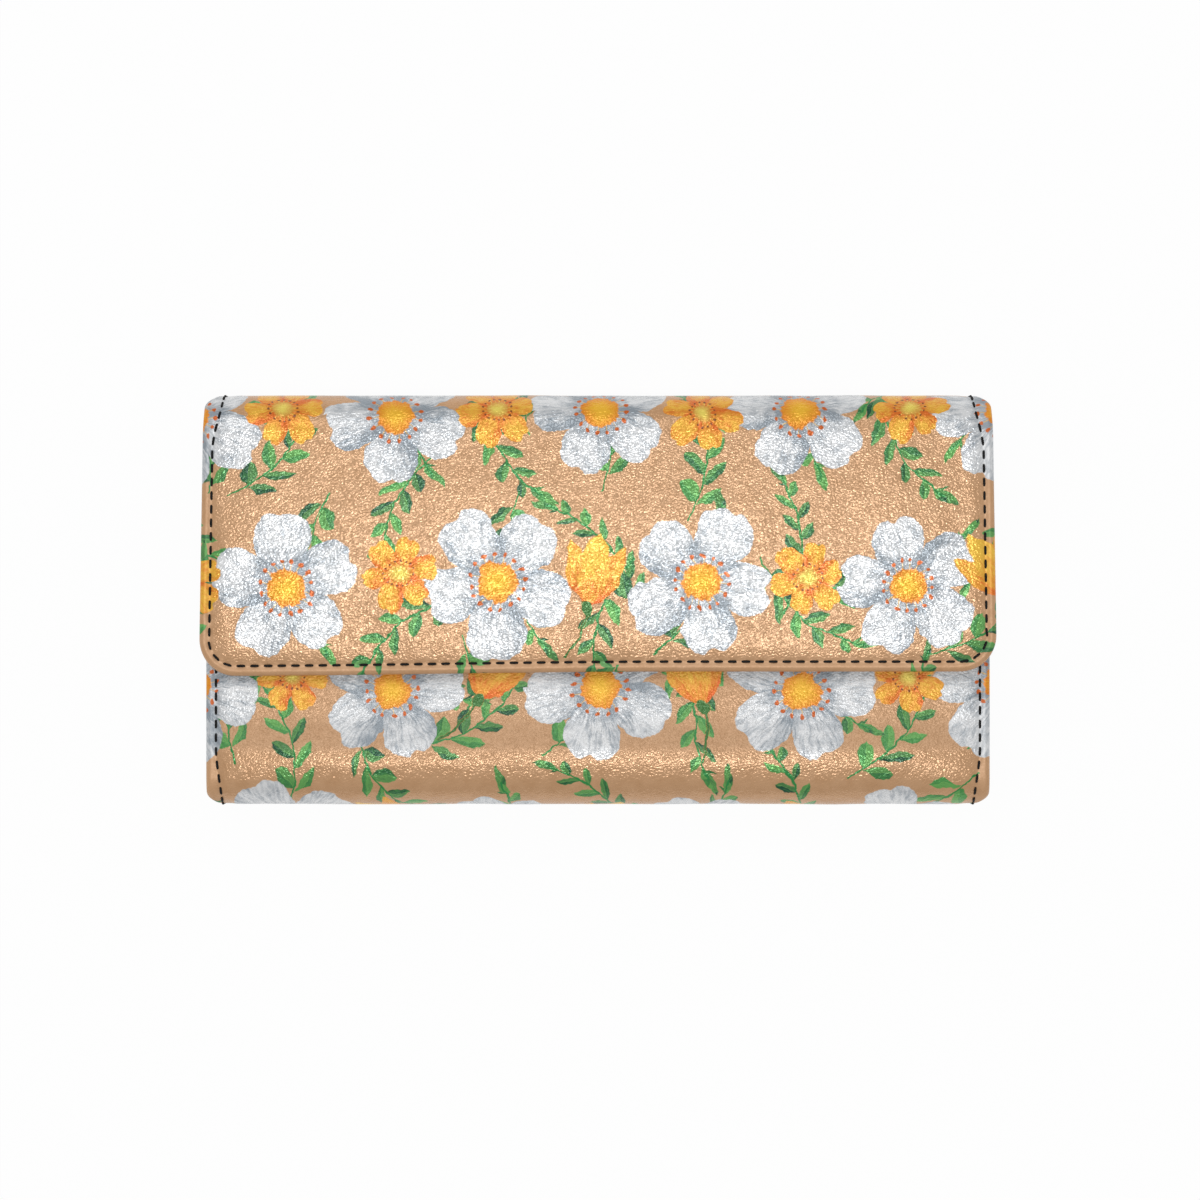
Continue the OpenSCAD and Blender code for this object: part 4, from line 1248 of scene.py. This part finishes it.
def bank_sheet(name, node, up, finish):
    """A card pocket sheet that fills the box of its node, with a turned and pressed top edge."""
    low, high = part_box(node)
    width, inset = high.x, tier_inset
    plain = "tier_3" in node or "panel" in node
    columns = np.concatenate([np.linspace(-width, width, 90), [-inset, inset, -width + inset, width - inset]])
    rows = np.concatenate([np.linspace(low.y, high.y, 40), [high.y - tier_band], high.y - bead_steps])
    grid_x, grid_y = np.meshgrid(np.unique(columns), np.unique(rows))
    drop = high.y - grid_y
    thickness = high.z - low.z
    bead = 0.1 * MM * (1 - smooth(2.2 * MM, 2.5 * MM, drop))
    bead -= 0.5 * thickness * (1 - smooth(0, 0.5 * MM, drop))
    face = low.z if up > 0 else high.z
    out = face + up * (thickness + (0 if "panel" in node else bead))
    centre_x, centre_y = ((grid[:-1, :-1] + grid[1:, 1:]) / 2 for grid in (grid_x, grid_y))
    in_leaf = (np.abs(centre_x) > inset) & (np.abs(centre_x) < width - inset)
    keep = plain | in_leaf | (centre_y > high.y - tier_band)
    piece = flat_slab(name, grid_x, grid_y, out, face, up, finish, keep)
    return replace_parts(piece, node)


def straight_seam(name, start, end, facing):
    steps = np.linspace(0, 1, 60)[:, None]
    points = np.array(start) * (1 - steps) + np.array(end) * steps
    return sewn_line(name, points, np.tile(np.array(facing, float), (len(points), 1)))


for bank, body, up in (("rear", "body", 1), ("front", "front", -1)):
    panel = bank_sheet(f"{bank}_backing", f"{bank}_card_panel", up, lining_cloth)
    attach(panel, body)
    seams_here = []
    for tier in (1, 2, 3):
        node = f"{bank}_card_tier_{tier}"
        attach(bank_sheet(f"{bank}_pocket_{tier}", node, up, black_leather), body)
        low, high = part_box(node)
        face = high.z if up > 0 else low.z
        row_y = high.y - tier_hem
        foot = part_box(f"{bank}_card_tier_{tier + 1}")[1].y if tier < 3 else low.y
        seams_here += [
            straight_seam("row", (low.x + 1 * MM, row_y, face), (high.x - 1 * MM, row_y, face), (0, 0, up)),
            straight_seam("column", (0, high.y - 2 * MM, face), (0, foot + 1 * MM, face), (0, 0, up))]
    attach(joined(f"{bank}_pocket_stitches", seams_here), body)

# %% [markdown]
# ## Coin pocket and zip
# The coin pocket is two soft walls sewn together down both sides and closed at the bottom. The zip's tapes
# are sewn inside their top edges. Its teeth are one small casting repeated along a line, so Geometry Nodes
# makes each row.

# %% Shape the pocket walls and tapes
pocket_low, pocket_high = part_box("coin_pocket_rear")
half_pocket = pocket_high.z - pocket_low.z
pocket_wall = 0.6 * MM
seam_w, slope_w = 4.5 * MM, 6 * MM


def pocket_side(name, node, way):
    """One wall of the coin pocket: flat at its sewn sides, and swelling over the coins between them."""
    x = np.linspace(-pocket_high.x, pocket_high.x, 150)
    y = np.unique(np.concatenate([np.linspace(pocket_low.y, pocket_high.y, 70),
                                  pocket_high.y - np.array([0.2, 0.5, 1.0, 2.0]) * MM]))
    grid_x, grid_y = np.meshgrid(x, y)
    rise = smooth(seam_w, seam_w + slope_w, pocket_high.x - np.abs(grid_x))
    depth = pocket_wall + (half_pocket - pocket_wall) * rise
    fullness = smooth(0, 8 * MM, grid_y - pocket_low.y) * rise
    slack = 0.35 * MM * np.sin(grid_x / (23 * MM)) * np.sin(grid_y / (14 * MM)) * fullness
    depth = depth + slack - 0.3 * MM * fullness
    inner_z = mid_z + way * np.maximum(depth - pocket_wall, 0)
    piece = flat_slab(name, grid_x, grid_y, mid_z + way * depth, inner_z, way, lining_cloth)
    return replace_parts(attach(piece, "divider"), node)


pocket_side("pocket_rear", "coin_pocket_rear", -1)
pocket_side("pocket_front", "coin_pocket_front", 1)

tape_t = 0.4 * MM
tape_roll_r = 0.45 * MM
tape_gap = 0.05 * MM
chain_low, chain_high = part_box("zip_teeth_rear")
chain_y = (chain_low.y + chain_high.y) / 2


def tape(name, node, way):
    """A zip tape: down the inside of the pocket wall, and rolled in to a corded edge at the teeth."""
    low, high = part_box(node)
    near, far = sorted((abs(low.z - mid_z), abs(high.z - mid_z)))
    away = far - tape_t / 2
    bend = np.radians(np.linspace(0, 90, 9))
    r, rows_down, rows_in = tape_roll_r, 12, 3
    to_teeth = np.linspace(away - r, near + tape_gap, rows_in + 1)[1:]
    y = np.concatenate([np.linspace(low.y, chain_y - r, rows_down), chain_y - r + r * np.sin(bend),
                        [chain_y] * rows_in])
    z = np.concatenate([[away] * rows_down, away - r + r * np.cos(bend), to_teeth])
    x = np.linspace(low.x, high.x, 120)
    grid = np.stack(np.broadcast_arrays(x[None, :], y[:, None], (mid_z + way * z)[:, None]), 2)
    upper, lower = thickened(grid if way < 0 else grid[:, ::-1], tape_t)
    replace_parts(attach(slab(name, upper, lower, zip_ribbon), "divider"), node)
    return np.hypot(np.diff(y), np.diff(z)).sum(), high.x - low.x


tape_size = tape("tape_rear", "zip_tape_rear", -1)
tape("tape_front", "zip_tape_front", 1)


# %% Cast one tooth and repeat it along the chain
tooth_pitch = 2 * MM
tooth_half = 0.45 * MM
tooth_high = 0.7 * MM


def tooth_root(way):
    """Z of a row's roots, at its tape."""
    return chain_low.z if way < 0 else 2 * mid_z - chain_low.z


def tooth_template(way):
    """A zip tooth that points across the chain: jaws on the tape, a waist and a rounded head."""
    reach = chain_high.z - chain_low.z
    outline = [(-1, 0), (1, 0), (1, 0.6), (0.62, 0.72), (0.95, 0.84), (0.6, 1), (-0.6, 1), (-0.95, 0.84),
               (-0.62, 0.72), (-1, 0.6)]
    edge = [(0.86, -1), (1, -0.8), (1, 0.8), (0.86, 1)]
    points = [(a * tooth_half * grow, chain_y + up * tooth_high,
               tooth_root(way) - way * (0.5 + (b - 0.5) * (0.5 + grow / 2)) * reach)
              for grow, up in edge for a, b in outline]
    count = len(outline)
    faces = [tuple(range(count)), tuple(range(3 * count, 4 * count))[::-1]]
    for ring in range(3):
        faces += [(ring * count + k, (ring + 1) * count + k, (ring + 1) * count + (k + 1) % count,
                   ring * count + (k + 1) % count) for k in range(count)]
    faces = faces if way > 0 else [face[::-1] for face in faces]
    return make_piece("tooth", points, faces, nickel, range(len(faces)))


def tooth_tree():
    steps = Steps("teeth_in_a_row", {"Geometry": "NodeSocketGeometry", "Tooth": "NodeSocketObject",
                                     "Count": "NodeSocketInt", "Pitch": "NodeSocketFloat",
                                     "Start": "NodeSocketFloat", "Metal": "NodeSocketMaterial"})
    row = steps.node("GeometryNodeMeshLine", {"mode": "OFFSET"}, {
        "Count": steps.given["Count"], "Start Location": steps.point(steps.given["Start"], 0.0),
        "Offset": steps.point(steps.given["Pitch"], 0.0)})
    steps.repeat(steps.given["Tooth"], row.outputs[0], steps.given["Metal"])
    return steps


teeth_row = tooth_tree()


def tooth_row(name, node, way):
    low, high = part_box(node)
    count = round((high.x - low.x - 2 * tooth_half) / tooth_pitch) + 1
    tooth = tooth_template(way)
    seed = placed("seed", bpy.data.meshes.new("seed"))
    row = grown(name, seed, teeth_row, Tooth=tooth, Count=count, Pitch=tooth_pitch, Start=low.x + tooth_half,
                Metal=nickel)
    row.data.polygons.foreach_set("use_smooth", np.zeros(len(row.data.polygons), bool))
    bpy.data.objects.remove(tooth)
    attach(row, "divider")
    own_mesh(row)
    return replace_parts(row, node)


tooth_row("teeth_rear", "zip_teeth_rear", -1)
tooth_row("teeth_front", "zip_teeth_front", 1)
bpy.data.objects.remove(stitch)

# %% [markdown]
# ## The cutting list
# All the soft pieces are cut flat before they are folded and sewn. This list gives each one's flat width
# and length, worked out from the same numbers that shaped it, and how the finished wallet holds it.

# %% Print every sheet's name and flat size
def cut(name, width, length, held, area=None, sewn=()):
    """Prints a sheet piece's name and its cut width and length, which are given in metres."""
    print(f"{name}: cut {width / MM:.0f} x {length / MM:.0f} mm")


for span_name, width in (("flap", flap_half), ("top", fold_half), ("body", body_half)):
    start, end = piece_spans[span_name]
    cut(f"leather_{span_name}", 2 * width, end - start, "folded", sewn=[f"stitches_{span_name}"])
    open_ends = (span_name == "flap") + (span_name == "body")
    cut(f"lining_{span_name}", 2 * (width - lining_inset), end - start - open_ends * lining_inset, "folded",
        sewn=[f"lining_stitches_{span_name}"])

gusset_width = travelled_along(pleat_line())[-1]
for side in ("left", "right"):
    cut(f"gusset_{side}", gusset_width, gusset_high.y - gusset_low.y, "folded")

for bank in ("rear", "front"):
    for name, node in [(f"{bank}_backing", f"{bank}_card_panel")] + [
            (f"{bank}_pocket_{tier}", f"{bank}_card_tier_{tier}") for tier in (1, 2, 3)]:
        low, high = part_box(node)
        width, length = high.x - low.x, high.y - low.y
        notched = tier_band * width + (length - tier_band) * (width - 4 * tier_inset)
        cut(name, width, length, "laid", area=None if "panel" in node or "tier_3" in node else notched)
    cut(f"pocket_{bank}", 2 * pocket_high.x, pocket_high.y - pocket_low.y, "stretched")
    cut(f"tape_{bank}", *tape_size, "stretched")

# %% [markdown]
# ## Metal parts and boards
# The slider, the pull, the stops and the two halves of the snap are hard and already have their true
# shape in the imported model, so they keep it and only get their finish.

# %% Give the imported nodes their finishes
shown_as_packed = (
    (nickel, ("zip_slider", "zip_pull", "zip_top_stops", "zip_bottom_stop", "snap_socket_base",
              "snap_socket_washer", "snap_stud_washer")),
    (spun_nickel, ("snap_socket_case", "snap_stud")),
    (ferrite, ("snap_magnet",)),
    (fibre_board, ("back_board", "bottom_board", "front_board", "top_strip_board")),
)
for finish, nodes in shown_as_packed:
    for node in nodes:
        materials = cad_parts[node].data.materials
        materials.clear()
        materials.append(finish)
print("nodes shown as packed:", sum(len(nodes) for _, nodes in shown_as_packed))

# %% [markdown]
# ## Floor, light and camera
# The wallet lies on its back on a pale floor, and the camera looks straight down on its front with a long
# lens. A small soft key lamp hangs almost overhead, so that every crinkle of the coat catches it, and a
# wider fill stands beyond the wallet's top edge.

# %% Set the stage
def pale_floor():
    """A matt white floor that the camera sees as nearly white, and that still takes a shadow."""
    skin = Finish("floor")
    rays = skin.node("ShaderNodeLightPath").outputs
    straight, mirrored, passed = (Field(skin, rays[f"Is {kind} Ray"])
                                  for kind in ("Camera", "Glossy", "Transmission"))
    seen = skin.high(skin.high(straight, mirrored), passed)
    matt = skin.node("ShaderNodeBsdfDiffuse", sockets={"Color": (0.9, 0.9, 0.9, 1.0)})
    bright = skin.node("ShaderNodeEmission", sockets={"Color": (1.0, 1.0, 1.0, 1.0), "Strength": 1.0})
    both = skin.node("ShaderNodeMixShader",
                     sockets={0: seen * 0.96, 1: matt.outputs[0], 2: bright.outputs[0]})
    skin.node("ShaderNodeOutputMaterial", sockets={"Surface": both.outputs[0]})
    return skin.material


floor_half = 6.0
floor_corners = [(x * floor_half, y * floor_half, 0) for x, y in ((-1, -1), (1, -1), (1, 1), (-1, 1))]
floor = make_piece("floor", floor_corners, [(0, 1, 2, 3)], pale_floor())


def soft_lamp(name, place, size, power):
    """A soft lamp of a size in metres and a power in watts, turned to the middle of the wallet's back."""
    light = bpy.data.lights.new(name, "AREA")
    light.shape, light.size, light.size_y, light.energy = "RECTANGLE", *size, power
    lamp = placed(name, light)
    lamp.location = place
    lamp.rotation_euler = (-lamp.location).to_track_quat("-Z", "Y").to_euler()


soft_lamp("key", (0.03, -0.17, 1.75), (0.4, 0.14), 6.3)
soft_lamp("fill", (-0.3, 0.9, 1.3), (0.9, 0.5), 4.4)

world = bpy.data.worlds.new("studio")
world.use_nodes = True
sky = world.node_tree.nodes["Background"].inputs
sky["Color"].default_value = (1, 1, 1, 1)
sky["Strength"].default_value = 0.485
bpy.context.scene.world = world

frame_pixels = 1200
wallet_pixels = 799
camera_height = 1.4
frame_width = 2 * flap_half * frame_pixels / wallet_pixels
camera_data = bpy.data.cameras.new("camera")
camera_data.lens = camera_data.sensor_width * (camera_height - z_top) / frame_width
camera = placed("camera", camera_data)
camera.location = (0.5 * MM, 0, camera_height)
bpy.context.scene.camera = camera
bpy.context.scene.view_settings.view_transform = "Standard"
